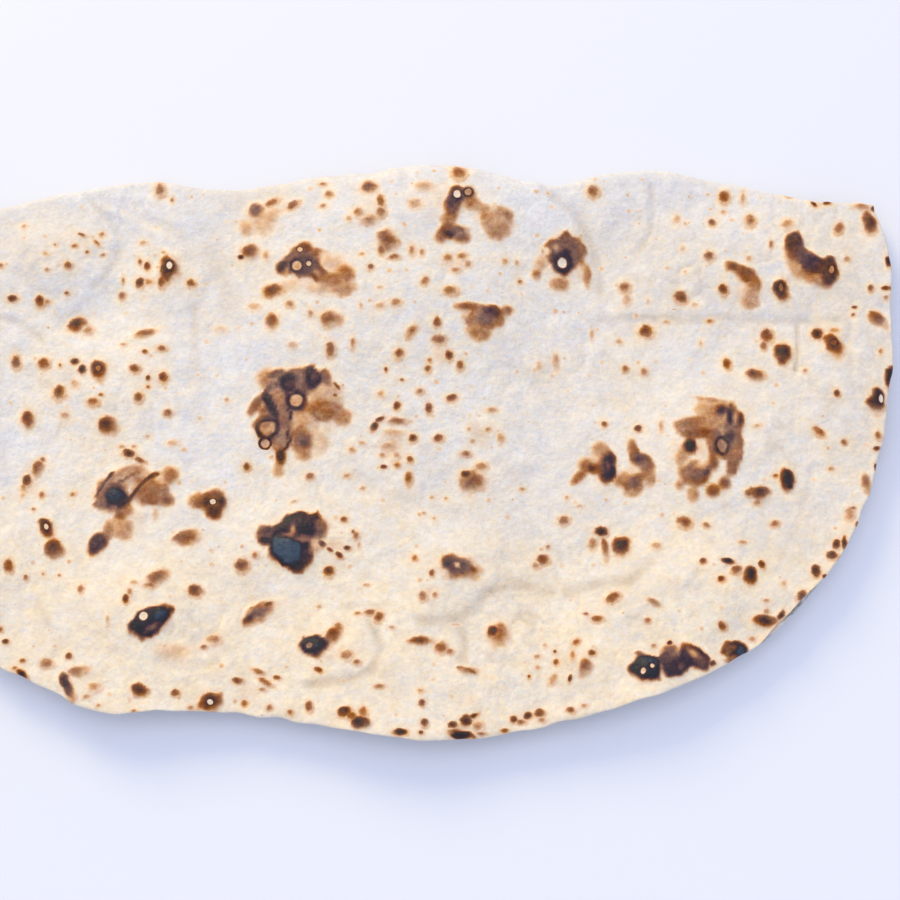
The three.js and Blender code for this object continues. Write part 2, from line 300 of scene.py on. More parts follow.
# browned places in the photograph's frame, in pixels: x, y, width, height, heat, turn in degrees
brownSpots = [
    # left end
    (160, 190, 12, 16, .52), (172, 200, 5, 6, .4), (143, 243, 8, 5, .38), (164, 253, 7, 5, .28),
    (82, 235, 10, 4, .6, -20), (75, 246, 8, 5, .45), (87, 252, 5, 4, .5), (97, 243, 10, 4, .5, -45),
    (103, 255, 6, 4, .45), (68, 265, 9, 9, .6), (46, 254, 7, 5, .3), (47, 270, 6, 6, .35),
    (1, 266, 6, 6, .5), (102, 235, 8, 6, .38), (24, 227, 6, 5, .3), (55, 245, 4, 4, .4),
    (147, 266, 7, 10, .66), (140, 262, 5, 8, .5), (140, 283, 10, 12, .78), (149, 282, 10, 8, .4),
    (162, 282, 10, 14, .6), (191, 283, 11, 10, .62), (122, 295, 9, 9, .5), (123, 280, 4, 9, .45),
    (13, 299, 12, 9, .78), (40, 301, 11, 14, .72), (47, 302, 10, 6, .36), (67, 293, 6, 5, .5),
    (76, 324, 20, 12, .85, 20), (88, 330, 12, 9, .42), (146, 334, 22, 8, .6, 12),
    (162, 349, 11, 7, .56), (145, 352, 7, 5, .6), (123, 344, 7, 4, .3), (16, 362, 11, 15, .66),
    (44, 364, 14, 12, .6, 20), (60, 365, 4, 5, .5), (75, 361, 10, 8, .8), (82, 369, 10, 11, .9),
    (75, 383, 10, 10, .3), (135, 369, 12, 10, .6), (163, 377, 11, 12, .66), (148, 378, 6, 6, .72),
    (148, 387, 5, 4, .5), (59, 393, 14, 16, .68), (93, 402, 14, 10, .5), (101, 395, 6, 4, .45),
    (139, 398, 11, 13, .6), (168, 413, 11, 9, .52), (28, 419, 14, 18, .78), (65, 415, 9, 8, .36),
    (107, 426, 21, 19, .84), (122, 447, 7, 5, .35), (134, 447, 7, 5, .35), (148, 437, 7, 5, .25),
    # under the fold
    (256, 212, 18, 17, .6, 20), (272, 203, 16, 8, .52, 28), (293, 205, 16, 8, .58, 35),
    (266, 256, 7, 9, .36), (250, 252, 20, 16, .66, 15), (241, 257, 8, 6, .85),
    (274, 290, 20, 13, .74, 15), (290, 305, 10, 8, .46, -30), (254, 307, 14, 10, .27),
    (272, 322, 13, 18, .64, -12), (221, 329, 14, 8, .22), (293, 346, 12, 8, .27), (311, 314, 7, 9, .36),
    (330, 319, 23, 17, .6, -15), (331, 350, 11, 17, .56), (353, 344, 6, 14, .36), (329, 194, 9, 8, .5),
    (323, 184, 9, 5, .45), (323, 206, 8, 6, .36), (369, 188, 18, 12, .64, 15),
    (381, 202, 9, 16, .54, 12), (359, 213, 12, 11, .42), (369, 220, 18, 10, .46, 15),
    (381, 212, 11, 12, .5), (349, 219, 8, 7, .3), (387, 241, 19, 24, .63), (394, 257, 14, 7, .5),
    (382, 250, 10, 12, .5), (412, 250, 7, 13, .42), (422, 252, 6, 9, .36), (371, 267, 7, 7, .56),
    (362, 254, 7, 5, .26), (425, 281, 8, 11, .46, -25), (380, 288, 8, 5, .26), (396, 303, 12, 8, .4),
    (380, 306, 12, 8, .32), (361, 306, 5, 8, .26), (437, 322, 9, 12, .62), (412, 331, 10, 18, .46, -35),
    (439, 339, 15, 12, .56), (399, 354, 11, 13, .56, -20), (428, 369, 7, 8, .52), (430, 360, 6, 6, .46),
    (386, 370, 4, 6, .56), (402, 380, 6, 4, .46), (420, 391, 9, 8, .5), (397, 406, 8, 10, .74),
    (429, 408, 8, 12, .68), (451, 398, 12, 9, .62), (381, 394, 8, 8, .3), (374, 426, 8, 12, .78, -30),
    (380, 419, 12, 6, .78, 20), (397, 421, 20, 7, .62), (413, 438, 10, 10, .8), (439, 438, 12, 9, .62),
    (450, 291, 16, 11, .5), (393, 433, 20, 9, .32), (388, 446, 16, 9, .36), (397, 455, 9, 8, .34),
    (382, 455, 8, 6, .36), (384, 467, 8, 5, .72), (397, 465, 8, 6, .6), (410, 460, 8, 9, .6),
    (409, 479, 9, 15, .52), (362, 443, 10, 6, .26), (352, 450, 8, 6, .42), (347, 476, 10, 6, .36),
    (310, 477, 10, 9, .52), (363, 488, 7, 5, .3), (459, 173, 17, 13, .56, -20), (415, 204, 16, 12, .34),
    (424, 186, 18, 10, .3), (448, 258, 10, 9, .42), (462, 256, 12, 9, .46), (468, 264, 9, 9, .38),
    (456, 270, 12, 7, .38), (505, 262, 7, 8, .32), (520, 281, 5, 5, .5), (517, 263, 5, 6, .3),
    # right of the fold
    (593, 192, 13, 14, .56), (677, 220, 9, 12, .26), (685, 224, 5, 6, .22), (724, 197, 13, 14, .62),
    (743, 198, 7, 15, .36), (712, 223, 9, 8, .6), (750, 221, 12, 14, .48, -20), (723, 212, 7, 5, .3),
    (787, 225, 13, 12, .4), (771, 245, 5, 9, .5), (790, 193, 13, 8, .58), (814, 204, 10, 5, .78, -35),
    (827, 203, 9, 5, .72), (863, 208, 22, 6, .42), (875, 209, 8, 7, .74), (869, 225, 15, 22, .82),
    (839, 229, 10, 13, .5, -20), (847, 260, 7, 8, .42), (888, 262, 8, 15, .95), (709, 257, 11, 12, .62),
    (723, 290, 11, 12, .68), (685, 272, 5, 5, .24), (683, 249, 8, 8, .2), (749, 259, 7, 6, .3),
    (681, 297, 16, 13, .66, -20), (695, 305, 8, 6, .3), (625, 288, 13, 14, .5), (627, 300, 10, 14, .3),
    (648, 302, 6, 8, .2), (646, 331, 17, 15, .72), (619, 342, 9, 7, .32), (667, 322, 10, 5, .26),
    (710, 321, 8, 5, .42), (767, 336, 14, 16, .68), (764, 346, 8, 10, .5), (783, 354, 18, 22, .94),
    (727, 364, 9, 13, .68, 20), (755, 375, 20, 13, .74), (817, 334, 13, 13, .88),
    (834, 331, 12, 6, .36), (854, 308, 6, 4, .7), (853, 315, 5, 5, .46), (877, 319, 18, 13, .64, -40),
    (870, 289, 7, 9, .58), (886, 289, 10, 6, .72), (887, 299, 6, 6, .42), (837, 393, 7, 9, .68, 30),
    (805, 371, 6, 6, .36), (880, 352, 5, 7, .36), (889, 378, 9, 21, .97), (592, 334, 5, 12, .3),
    (556, 362, 7, 20, .32), (539, 368, 7, 14, .22), (625, 369, 8, 8, .52), (644, 372, 9, 9, .42),
    (701, 344, 5, 8, .26), (453, 397, 10, 8, .6), (492, 410, 14, 7, .36), (460, 365, 9, 12, .6),
    (449, 355, 9, 12, .76), (488, 430, 8, 6, .36), (501, 439, 9, 12, .34), (469, 429, 6, 6, .3),
    (473, 441, 7, 6, .34),
    # middle right
    (604, 425, 7, 7, .58), (638, 428, 9, 8, .76), (661, 426, 6, 12, .32), (757, 426, 9, 5, .3),
    (760, 493, 20, 14, .86), (750, 494, 12, 9, .55), (757, 503, 9, 7, .42), (787, 480, 16, 24, .99),
    (776, 476, 8, 5, .5), (685, 522, 17, 13, .64, -20), (706, 525, 9, 7, .52, -35),
    (775, 524, 10, 8, .5), (831, 469, 7, 5, .36), (564, 521, 13, 10, .58, 20), (580, 507, 9, 6, .26),
    (601, 532, 16, 11, .93), (622, 546, 18, 20, .92), (605, 548, 7, 22, .64, 10),
    (593, 543, 10, 14, .42), (543, 559, 14, 12, .64), (536, 565, 8, 8, .42), (548, 547, 6, 5, .42),
    (656, 546, 12, 8, .32), (743, 542, 12, 5, .32), (703, 561, 8, 7, .72), (728, 561, 16, 7, .94, -12),
    (737, 570, 14, 10, .6), (751, 576, 13, 20, .93), (721, 579, 9, 9, .8), (762, 564, 7, 11, .78, 25),
    (784, 584, 6, 9, .3), (654, 602, 18, 7, .52, -25), (597, 620, 14, 8, .52), (648, 620, 8, 7, .52),
    (586, 615, 6, 4, .46), (819, 432, 16, 9, .52, -35), (844, 442, 8, 7, .52),
    (722, 626, 8, 12, .64, 35), (567, 498, 6, 5, .3),
    # right rim
    (877, 436, 7, 10, .54), (876, 449, 8, 6, .74), (875, 468, 4, 9, .86), (865, 483, 8, 18, .54, 10),
    (850, 514, 12, 17, .42), (853, 509, 7, 5, .5), (857, 525, 5, 8, .62), (837, 545, 10, 12, .78),
    (845, 543, 7, 14, .84), (832, 556, 14, 11, .78), (816, 572, 11, 14, .84), (824, 578, 6, 6, .62),
    (802, 597, 13, 15, .72, -30), (813, 594, 6, 6, .62), (765, 621, 28, 13, .88, -10),
    (781, 616, 8, 14, .84, -40), (766, 612, 8, 9, .36), (766, 601, 8, 5, .36), (766, 641, 11, 6, .52),
    (752, 639, 8, 6, .36), (712, 664, 7, 9, .78, -30),
    # low right
    (670, 643, 6, 6, .86), (654, 646, 7, 6, .36), (498, 634, 24, 21, .52), (493, 632, 14, 15, .92),
    (585, 666, 14, 19, .6, -15), (592, 653, 10, 8, .68), (576, 642, 10, 7, .56, 30),
    (573, 656, 7, 14, .36), (556, 662, 7, 8, .62), (553, 680, 9, 14, .38, -30),
    (570, 679, 5, 10, .82, -15), (555, 651, 4, 4, .72), (529, 676, 4, 5, .62), (537, 656, 9, 6, .38),
    (538, 667, 7, 6, .3), (468, 671, 20, 7, .5), (545, 645, 6, 6, .3),
    # middle left
    (38, 468, 12, 18, .6, -30), (27, 481, 10, 14, .78), (43, 460, 6, 6, .5), (42, 495, 7, 8, .46),
    (24, 488, 8, 10, .4), (23, 496, 6, 8, .26), (34, 510, 5, 4, .5), (73, 495, 7, 5, .42, 30),
    (54, 548, 17, 20, .84, 15), (9, 566, 11, 16, .62), (26, 578, 6, 8, .48), (59, 575, 5, 4, .4),
    (43, 574, 4, 4, .4), (81, 589, 7, 10, .48), (129, 454, 15, 10, .86, -15),
    (140, 461, 14, 6, .55, -20), (187, 538, 28, 15, .64, 8), (247, 467, 9, 10, .62),
    (242, 566, 16, 15, .66), (255, 556, 8, 8, .42, 30), (294, 502, 12, 5, .3, 15),
    (344, 520, 8, 7, .62), (329, 571, 12, 12, .74), (158, 577, 24, 13, .6, 25), (150, 586, 14, 7, .5),
    (135, 583, 10, 6, .32), (126, 600, 8, 10, .8), (130, 592, 6, 8, .42), (195, 591, 16, 14, .74),
    (260, 613, 39, 17, .6, 30), (250, 620, 18, 9, .8, 32), (268, 606, 14, 8, .72, 30),
    (108, 620, 5, 14, .3), (204, 647, 8, 6, .5), (6, 642, 9, 7, .78), (1, 630, 6, 7, .5),
    (173, 444, 14, 7, .26), (227, 400, 6, 5, .26), (319, 607, 7, 5, .3),
    # round the larger burnt places
    (322, 544, 10, 8, .72, -35), (330, 550, 9, 5, .66, -35), (339, 555, 11, 7, .76, -35),
    (337, 387, 12, 5, .66, -50), (335, 396, 7, 5, .6), (347, 548, 9, 6, .85), (356, 536, 8, 11, .46),
    (353, 532, 5, 5, .6), (359, 545, 5, 10, .3),
    # middle
    (459, 567, 40, 22, .74, -8), (449, 564, 20, 18, .82), (472, 570, 18, 10, .6),
    (473, 481, 26, 22, .6), (466, 475, 13, 10, .84), (466, 454, 12, 7, .5), (481, 467, 14, 10, .42),
    (470, 484, 16, 12, .62), (423, 596, 10, 12, .46), (415, 558, 7, 7, .5), (432, 573, 7, 9, .62),
    (435, 595, 6, 7, .4), (522, 489, 8, 5, .3), (432, 497, 6, 5, .3), (446, 498, 6, 5, .3),
    (424, 513, 5, 4, .3), (434, 518, 5, 4, .34), (420, 641, 22, 8, .76, 5), (441, 647, 14, 13, .6),
    (450, 651, 9, 7, .42), (370, 612, 16, 7, .5), (379, 617, 11, 13, .64), (358, 613, 9, 5, .42),
    (333, 635, 20, 14, .74, 30), (338, 628, 10, 12, .5), (347, 656, 13, 12, .46), (357, 663, 9, 7, .48),
    (319, 670, 10, 6, .68, -20), (367, 585, 8, 5, .3), (379, 686, 11, 6, .5), (392, 628, 9, 5, .32),
    (420, 691, 8, 6, .32),
    # left and bottom rim
    (69, 656, 8, 8, .74), (47, 664, 15, 11, .46), (21, 675, 9, 17, .9, 40), (78, 671, 20, 11, .52),
    (68, 687, 11, 27, .86, 25), (95, 687, 15, 11, .34), (23, 661, 7, 5, .5), (15, 668, 7, 5, .5),
    (87, 697, 8, 6, .36), (99, 706, 7, 5, .34), (140, 690, 20, 12, .86, -12), (176, 693, 10, 9, .64),
    (192, 708, 8, 5, .4), (134, 711, 7, 5, .4), (238, 681, 13, 7, .68), (258, 672, 14, 6, .5, -20),
    (266, 683, 18, 6, .62, -30), (277, 678, 9, 6, .66), (262, 690, 10, 5, .4), (244, 703, 8, 8, .56),
    (270, 708, 8, 8, .48), (290, 713, 8, 7, .5), (309, 706, 9, 14, .6), (344, 711, 16, 11, .84, 10),
    (360, 722, 20, 11, .93), (352, 716, 12, 9, .6), (363, 712, 10, 14, .48), (401, 732, 17, 8, .9),
    (425, 723, 9, 10, .74), (422, 703, 8, 8, .68), (422, 732, 5, 4, .66), (452, 725, 12, 8, .84),
    (466, 721, 16, 12, .84), (474, 716, 12, 6, .8, 20), (462, 736, 24, 9, 1.02),
    (478, 726, 14, 12, .42), (455, 732, 18, 8, .6), (483, 734, 12, 5, .5), (514, 720, 9, 9, .72),
    (506, 732, 10, 6, .56), (528, 716, 11, 9, .86, 15), (540, 714, 13, 11, .72), (521, 722, 13, 7, .5),
    (543, 721, 9, 6, .4), (571, 711, 11, 8, .6), (584, 706, 9, 5, .36), (175, 652, 46, 22, .16),
    (178, 650, 26, 14, .2),
    # round the burst blisters
    (169, 269, 20, 26, .94, -15), (99, 370, 16, 18, .92), (47, 529, 14, 21, .94, 20),
    (781, 290, 15, 23, .95), (834, 346, 18, 25, .88, 35), (877, 401, 19, 27, .93),
    (214, 640, 17, 11, .44), (313, 646, 29, 21, 1.06, 5), (211, 701, 23, 19, .88),
    (613, 598, 17, 12, .62, 30),
    # beyond the picture's left edge
    (-14, 330, 16, 14, .7), (-30, 290, 12, 14, .6), (-46, 350, 18, 16, .85), (-22, 400, 12, 12, .6),
    (-60, 420, 14, 18, .72), (-38, 470, 24, 20, .88), (-28, 482, 16, 12, .6), (-70, 380, 10, 10, .5),
    (-84, 300, 14, 12, .66), (-66, 262, 12, 12, .56), (-36, 240, 14, 10, .5), (-92, 250, 10, 14, .8),
    (-102, 340, 10, 18, .9), (-96, 420, 10, 14, .8), (-78, 470, 14, 12, .62), (-20, 540, 18, 14, .7),
    (-54, 540, 14, 14, .6), (-82, 520, 10, 14, .84), (-30, 600, 16, 12, .66), (-58, 590, 12, 12, .85),
    (-12, 620, 12, 10, .6), (-46, 632, 14, 9, .9), (-22, 648, 12, 8, .7), (-110, 300, 8, 12, .7),
]

# larger burnt places, painted one over the other in this order: x, y, width, height, heat, turn
paintedMarks = [
    # above the middle: skin burnt thin over a group of burst blisters
    (300, 381, 58, 27, .56), (268, 381, 18, 22, .42), (279, 418, 34, 66, .54),
    (326, 394, 34, 26, .3, -20), (304, 421, 26, 30, .3), (313, 434, 16, 20, .24),
    (322, 411, 36, 18, .52, -5), (342, 417, 16, 15, .48), (302, 442, 24, 22, .56),
    (304, 443, 9, 9, .78), (304, 455, 14, 12, .46), (320, 443, 14, 22, .2), (289, 383, 18, 21, .98),
    (289, 385, 9, 12, .84), (313, 380, 17, 22, .98), (314, 379, 8, 12, .76), (298, 387, 7, 8, .5),
    (327, 380, 8, 14, .62), (275, 374, 18, 7, .68, 20), (279, 399, 9, 16, .44),
    (257, 404, 9, 24, .62, -35), (266, 398, 10, 14, 1.0), (272, 409, 8, 26, .97, 25),
    (296, 401, 20, 19, .9), (268, 430, 25, 23, .8), (281, 443, 13, 16, .5), (281, 457, 9, 15, .95),
    (278, 470, 9, 12, .36),
    # left of the middle: two lobes of blue-black char; the slate-blue middle of the lower one is partly the
    # char's grey and partly a painted sheen
    (305, 525, 46, 25, 1.0, -5), (283, 530, 32, 13, 1.0, 20), (266, 534, 18, 14, .7, 20),
    (269, 531, 6, 7, .97), (267, 542, 14, 7, .96), (321, 528, 14, 20, .62), (303, 520, 22, 12, .93),
    (290, 551, 44, 36, .97, -30), (289, 550, 33, 26, 1.17, -30), (307, 557, 10, 17, .88),
    (293, 530, 6, 9, .2), (287, 536, 9, 4, .34), (303, 540, 14, 6, .52), (316, 547, 9, 14, .28),
    # under the big bubble
    (246, 228, 13, 16, .3), (270, 217, 26, 13, .28, 35), (262, 224, 12, 8, .22, 30),
    (303, 262, 38, 31, .6), (304, 248, 13, 11, .76), (283, 266, 9, 13, .9, -30),
    (314, 270, 32, 17, .74, -40), (318, 275, 13, 5, .4, -40), (341, 288, 26, 15, .38),
    (333, 281, 24, 14, .54, -10), (346, 274, 16, 20, .5), (320, 289, 26, 9, .26),
    (329, 262, 18, 16, .24), (292, 285, 24, 10, .2), (297, 267, 17, 17, .86), (309, 266, 11, 12, .8),
    # left of the bubble's right end
    (565, 254, 34, 37, .74), (577, 252, 17, 26, .62), (562, 245, 24, 13, .68), (556, 249, 6, 8, .3),
    (560, 283, 18, 13, .44), (587, 275, 7, 18, .46), (579, 272, 6, 14, .16), (541, 263, 12, 12, .28),
    (537, 274, 8, 8, .58), (562, 264, 21, 22, .97),
    # on top of the fold and below it
    (452, 206, 17, 25, .68, -10), (450, 204, 8, 10, .82), (448, 219, 13, 9, .48),
    (457, 195, 17, 17, .88), (468, 194, 13, 14, .76), (471, 203, 16, 11, .52),
    (482, 208, 20, 9, .36, -20), (497, 222, 30, 29, .36), (485, 218, 8, 12, .46), (508, 215, 8, 7, .56),
    (500, 211, 7, 6, .46), (496, 232, 15, 12, .46), (448, 232, 17, 14, .86), (456, 229, 22, 8, .6),
    (462, 237, 14, 12, .6), (441, 237, 10, 10, .6), (484, 318, 40, 23, .5), (480, 332, 22, 18, .46),
    (467, 307, 20, 8, .62), (493, 313, 19, 12, .84), (506, 311, 12, 9, .58), (487, 324, 20, 14, .58),
    # two curved marks at the top right
    (803, 268, 34, 20, .36, -32), (818, 281, 26, 13, .42, -20), (806, 261, 50, 17, .66, -33),
    (794, 244, 16, 20, .88), (797, 254, 15, 15, .76), (811, 265, 25, 16, .84, -30),
    (829, 274, 18, 28, .88, -12), (750, 294, 18, 22, .24), (740, 271, 26, 10, .56, -28),
    (732, 267, 13, 9, .7, -20), (747, 276, 20, 15, .72, -28), (754, 285, 13, 14, .54),
    (752, 293, 12, 12, .42), (750, 302, 18, 12, .38),
    # right of the middle: a large broken patch
    (703, 428, 46, 22, .42), (714, 408, 32, 17, .34), (724, 420, 34, 30, .42), (733, 440, 19, 64, .56),
    (690, 424, 24, 11, .58), (702, 434, 34, 10, .64), (712, 446, 12, 26, .58), (697, 473, 28, 25, .62),
    (695, 466, 6, 6, .34), (706, 471, 8, 16, .74), (682, 455, 14, 18, .38), (685, 472, 12, 12, .5),
    (690, 446, 14, 15, 1.0), (722, 411, 12, 9, .9, 30), (730, 416, 8, 17, .95), (740, 420, 7, 14, .9),
    (735, 418, 5, 10, .3), (729, 438, 9, 11, .96), (722, 447, 17, 22, .84), (722, 443, 8, 13, .5),
    (713, 463, 9, 15, .66), (703, 455, 11, 24, .1), (675, 446, 9, 18, .1), (680, 485, 7, 8, .52),
    (693, 494, 11, 13, .42), (713, 491, 13, 12, .62, 35), (724, 484, 11, 12, .66),
    (731, 467, 10, 14, .66), (710, 400, 26, 4, .4, -10), (607, 468, 18, 32, .84, -8),
    (604, 459, 11, 15, .66), (607, 462, 9, 13, 1.0), (610, 474, 12, 14, 1.0), (608, 467, 4, 9, .62),
    (596, 468, 15, 12, .66), (587, 466, 17, 13, .56), (592, 469, 7, 7, .84),
    (579, 477, 8, 18, .56, -45), (600, 450, 14, 12, .42), (619, 481, 9, 10, .5), (595, 459, 11, 9, .22),
    (632, 447, 8, 14, .52), (635, 456, 9, 16, .68), (642, 459, 15, 10, .78), (646, 465, 14, 12, .66),
    (648, 475, 12, 18, .5), (632, 484, 23, 17, .66), (638, 478, 15, 12, .62), (632, 492, 15, 8, .42),
    (625, 478, 10, 12, .42), (633, 470, 12, 9, .14), (645, 482, 6, 6, .2),
    # left side: thin skin torn along a dark line
    (112, 496, 34, 34, .58, 25), (128, 476, 36, 17, .44, 15), (104, 497, 15, 18, .6),
    (116, 497, 21, 19, 1.1), (150, 492, 34, 27, .54), (157, 498, 29, 16, .56), (167, 500, 9, 9, .64),
    (170, 475, 16, 16, .52), (162, 479, 5, 9, .2), (131, 485, 8, 7, .14), (124, 479, 9, 4, .24),
    (123, 504, 13, 8, .96, 20), (128, 511, 10, 9, .52), (120, 517, 8, 7, .8), (123, 529, 20, 18, .38),
    (112, 526, 11, 13, .3), (155, 513, 6, 13, .28), (98, 544, 14, 25, .84, -38), (108, 532, 8, 12, .5),
    (198, 501, 20, 13, .52), (214, 502, 27, 23, .7), (215, 513, 14, 12, .88), (206, 503, 6, 8, .92),
    (222, 503, 7, 9, .9),
    # low left: a charred oval with a pale burst middle; its slate streak is partly a painted highlight
    (143, 627, 28, 22, 1.0, 10), (159, 617, 28, 22, 1.0, 40), (151, 621, 38, 24, 1.02, 28),
    (160, 616, 17, 9, 1.13, 40), (153, 628, 17, 5, .58, 30), (144, 618, 17, 16, .98),
    # the dark row at the low right rim
    (646, 668, 31, 28, 1.03), (649, 661, 20, 10, 1.1), (674, 664, 30, 26, .92), (670, 652, 18, 14, .62),
    (679, 653, 6, 8, .4), (666, 658, 10, 8, .8), (680, 667, 4, 4, .6), (693, 657, 33, 22, .96, -35),
    (703, 664, 11, 15, .84), (692, 654, 16, 7, .34, -40), (697, 662, 8, 7, .7), (734, 652, 25, 20, .98),
    (740, 653, 11, 11, 1.15), (732, 649, 5, 4, .6), (726, 652, 6, 12, .72), (731, 661, 15, 6, .52),
]

# blisters that burst, a thin black ring round a paler middle: x, y, width, height, heat of the middle, turn
burstSpots = [
    (170, 267, 9, 12, .1, 0), (99, 369, 8, 9, .5, 0), (47, 528, 7, 10, .15, 20),
    (297, 267, 15, 15, .3, 0), (309, 265, 8, 9, .26, 0), (300, 250, 8, 8, .28, 0),
    (562, 264, 15, 16, .06, 0), (457, 195, 11, 12, .14, 20), (468, 193, 11, 11, .44, 0),
    (831, 272, 8, 12, .4, -15), (781, 289, 7, 13, .6, 0), (833, 344, 9, 8, .68, 0),
    (880, 400, 8, 14, .06, 0), (296, 401, 20, 20, .3, 0), (268, 430, 25, 22, .42, 15),
    (265, 444, 14, 12, .3, 0), (722, 446, 15, 21, .5, 10), (213, 503, 9, 8, .12, 0),
    (144, 618, 13, 13, .08, 0), (310, 647, 11, 8, .5, 20), (211, 702, 9, 8, .08, 0),
    (643, 672, 8, 9, .16, 0), (652, 667, 7, 7, .14, 0), (-46, 350, 9, 9, .2, 0),
    (-38, 470, 12, 10, .3, 0),
]

# small pale places inside the brown ones: x, y, width, height
paleSpots = [
    (368, 210, 10, 9), (455, 262, 8, 7), (591, 531, 6, 6), (214, 640, 8, 5), (613, 598, 8, 5),
    (457, 566, 8, 4),
]

# thin dark lines: the picture points they run through, width, heat
burntLines = [
    ([(120, 508), (130, 500), (138, 490), (148, 480), (156, 474)], 4.4, .88),
    ([(97, 497), (105, 484), (113, 473)], 3.2, .8),
    ([(118, 484), (130, 478), (141, 473)], 3.4, .58),
    ([(288, 434), (290, 442), (286, 449), (279, 454)], 3.6, .95),
    ([(289, 411), (291, 419)], 3.6, .92),
    ([(262, 395), (270, 388), (282, 384)], 3.0, .7),
    ([(449, 625), (470, 622)], 2.0, .25),
    ([(786, 476), (790, 488)], 4.0, 1.05),
    ([(457, 668), (466, 669), (477, 674)], 3.0, .6),
]

# soft golden places, mostly round groups of spots: x, y, width, height, heat
goldenPlaces = [
    (176, 652, 60, 26, 0.19), (212, 640, 40, 22, 0.16), (250, 690, 50, 24, 0.14),
    (345, 655, 50, 34, 0.16), (392, 446, 42, 40, 0.24), (484, 432, 50, 40, 0.16),
    (440, 350, 34, 60, 0.15), (455, 262, 40, 26, 0.2), (450, 200, 110, 50, 0.13),
    (372, 210, 34, 34, 0.22), (262, 224, 48, 42, 0.26), (322, 285, 74, 34, 0.3),
    (336, 266, 34, 36, 0.24), (150, 370, 60, 60, 0.1), (33, 480, 30, 44, 0.16), (80, 240, 60, 30, 0.08),
    (570, 662, 60, 44, 0.17), (428, 590, 34, 20, 0.14), (468, 700, 50, 24, 0.1),
    (600, 470, 60, 44, 0.14), (700, 450, 84, 96, 0.16), (128, 520, 50, 34, 0.18),
    (315, 432, 60, 50, 0.2), (335, 545, 44, 40, 0.16), (565, 275, 60, 40, 0.14),
    (748, 294, 34, 40, 0.24), (812, 274, 60, 34, 0.22), (80, 672, 40, 30, 0.16),
    (350, 715, 60, 24, 0.14), (468, 728, 50, 24, 0.18), (535, 716, 60, 20, 0.14),
    (735, 570, 60, 30, 0.12), (605, 545, 40, 30, 0.15), (548, 365, 30, 30, 0.09),
    (850, 520, 30, 30, 0.1), (290, 205, 30, 20, 0.14), (490, 215, 50, 30, 0.17),
]

# smooth cool places: x, y, half width, half height
coolPlaces = [
    (230, 350, 70, 50), (540, 215, 50, 50), (690, 356, 70, 36), (170, 440, 50, 40), (30, 440, 40, 30),
]

# places where the browning is greyish, like thin burnt skin: x, y, width, height
ashPlaces = [
    (300, 264, 40, 28), (456, 204, 20, 26), (457, 233, 22, 12), (369, 188, 18, 12), (562, 256, 34, 38),
    (283, 402, 42, 78), (300, 381, 66, 34), (303, 440, 16, 16), (112, 494, 36, 44), (98, 548, 18, 24),
    (293, 538, 66, 52), (697, 471, 28, 20), (726, 430, 26, 44), (641, 460, 14, 22), (633, 483, 14, 12),
    (608, 467, 16, 28), (670, 665, 84, 38), (456, 567, 34, 18), (258, 615, 30, 12), (312, 645, 34, 24),
    (256, 212, 18, 16), (486, 316, 22, 20), (68, 687, 14, 28), (150, 622, 46, 30), (808, 256, 26, 34),
]

# the sides that aren't shown, browned at random: seed, count of large spots
hiddenBrowning = {
    "under": (12, 170),
    "inside": (29, 70),
    "smallForEachLarge": 3,
    "smallSizes": (3, 9),
    "smallHeats": (0.25, 0.75),
    "largeSizes": (9, 26),
    "largeHeats": (0.5, 0.95),
}

# how a browned spot looks, with distances as shares of its size
spotLook = {
    "wander": 0.36,         # how far the edge of a spot wanders, and that of a painted mark
    "markWander": 0.34,
    "lineWander": 0.3,      # the same for burnt lines and pale places
    "leanUp": 0.8,          # a spot is darkest at its upper left and golden at its lower right
    "leanRight": 0.5,
    "mostLean": 1.2,
    "lean": 0.2,            # how strong that is
    "fringeLean": 0.14,
    "fringeHeat": 0.26,     # the golden fringe at most, and as a share of the spot's heat
    "fringeShare": 0.5,
    "haloHeat": 0.16,       # the pale halo, the same way
    "haloShare": 0.4,
    "glow": 1.3,            # how strongly the dough round it is warmed
    "markEdge": 5.2,        # width of a painted mark's soft edge, in pixels, and how much a hot one loses
    "hotMarkEdge": 2.4,
    "lift": 0.8,            # how far a blister of middling size rises, in mm
    "middlingSize": 14,     # pixels
    "largestLift": 30,      # pixels across, larger ones rise no further
    "burstDepth": 0.9,      # how deep a burst blister has sunk, in mm
}


def spotShape(x, y, spot, reach):
    # the points near a spot and where they lie in it: 1 is its edge
    middleX, middleY, width, height = spot[:4]
    near = np.nonzero((np.abs(x - middleX) < reach) & (np.abs(y - middleY) < reach))[0]
    turn = math.radians(spot[5] if len(spot) > 5 else 0)
    dx = x[near] - middleX
    dy = middleY - y[near]
    across = (dx * math.cos(turn) + dy * math.sin(turn)) / (width / 2)
    along = (dy * math.cos(turn) - dx * math.sin(turn)) / (height / 2)
    return near, across, along


def layOnSpots(x, y, spots, wobble, heat):
    # browns the dough at each spot
    for spot in spots:
        hot = spot[4]
        size = (spot[2] + spot[3]) / 4
        near, across, along = spotShape(x, y, spot, max(spot[2], spot[3]) * 0.8 + 6)
        away = np.hypot(across, along) * (1 + spotLook["wander"] * wobble[near])
        charred = soft(0.85, 1.05, hot)
        lean = spotLook["leanUp"] * (spot[1] - y[near]) - spotLook["leanRight"] * (x[near] - spot[0])
        lean = np.clip(lean / size, -spotLook["mostLean"], spotLook["mostLean"])
        body = hot * (1 + (spotLook["lean"] - 0.15 * charred) * lean)
        body = body * (1.06 - 0.04 * charred - (0.42 - 0.3 * charred) * soft(0.15, 0.95, away))
        body = body * (1 - soft(0.8 - 0.7 / size, 1.06 + 1.2 / size, away))
        fringe = min(spotLook["fringeHeat"], spotLook["fringeShare"] * hot)
        fringe = fringe * (1 - soft(0.85, 1.15 + 2.4 / size, away + spotLook["fringeLean"] * lean))
        heat[near] = np.maximum.reduce([heat[near], body, fringe])


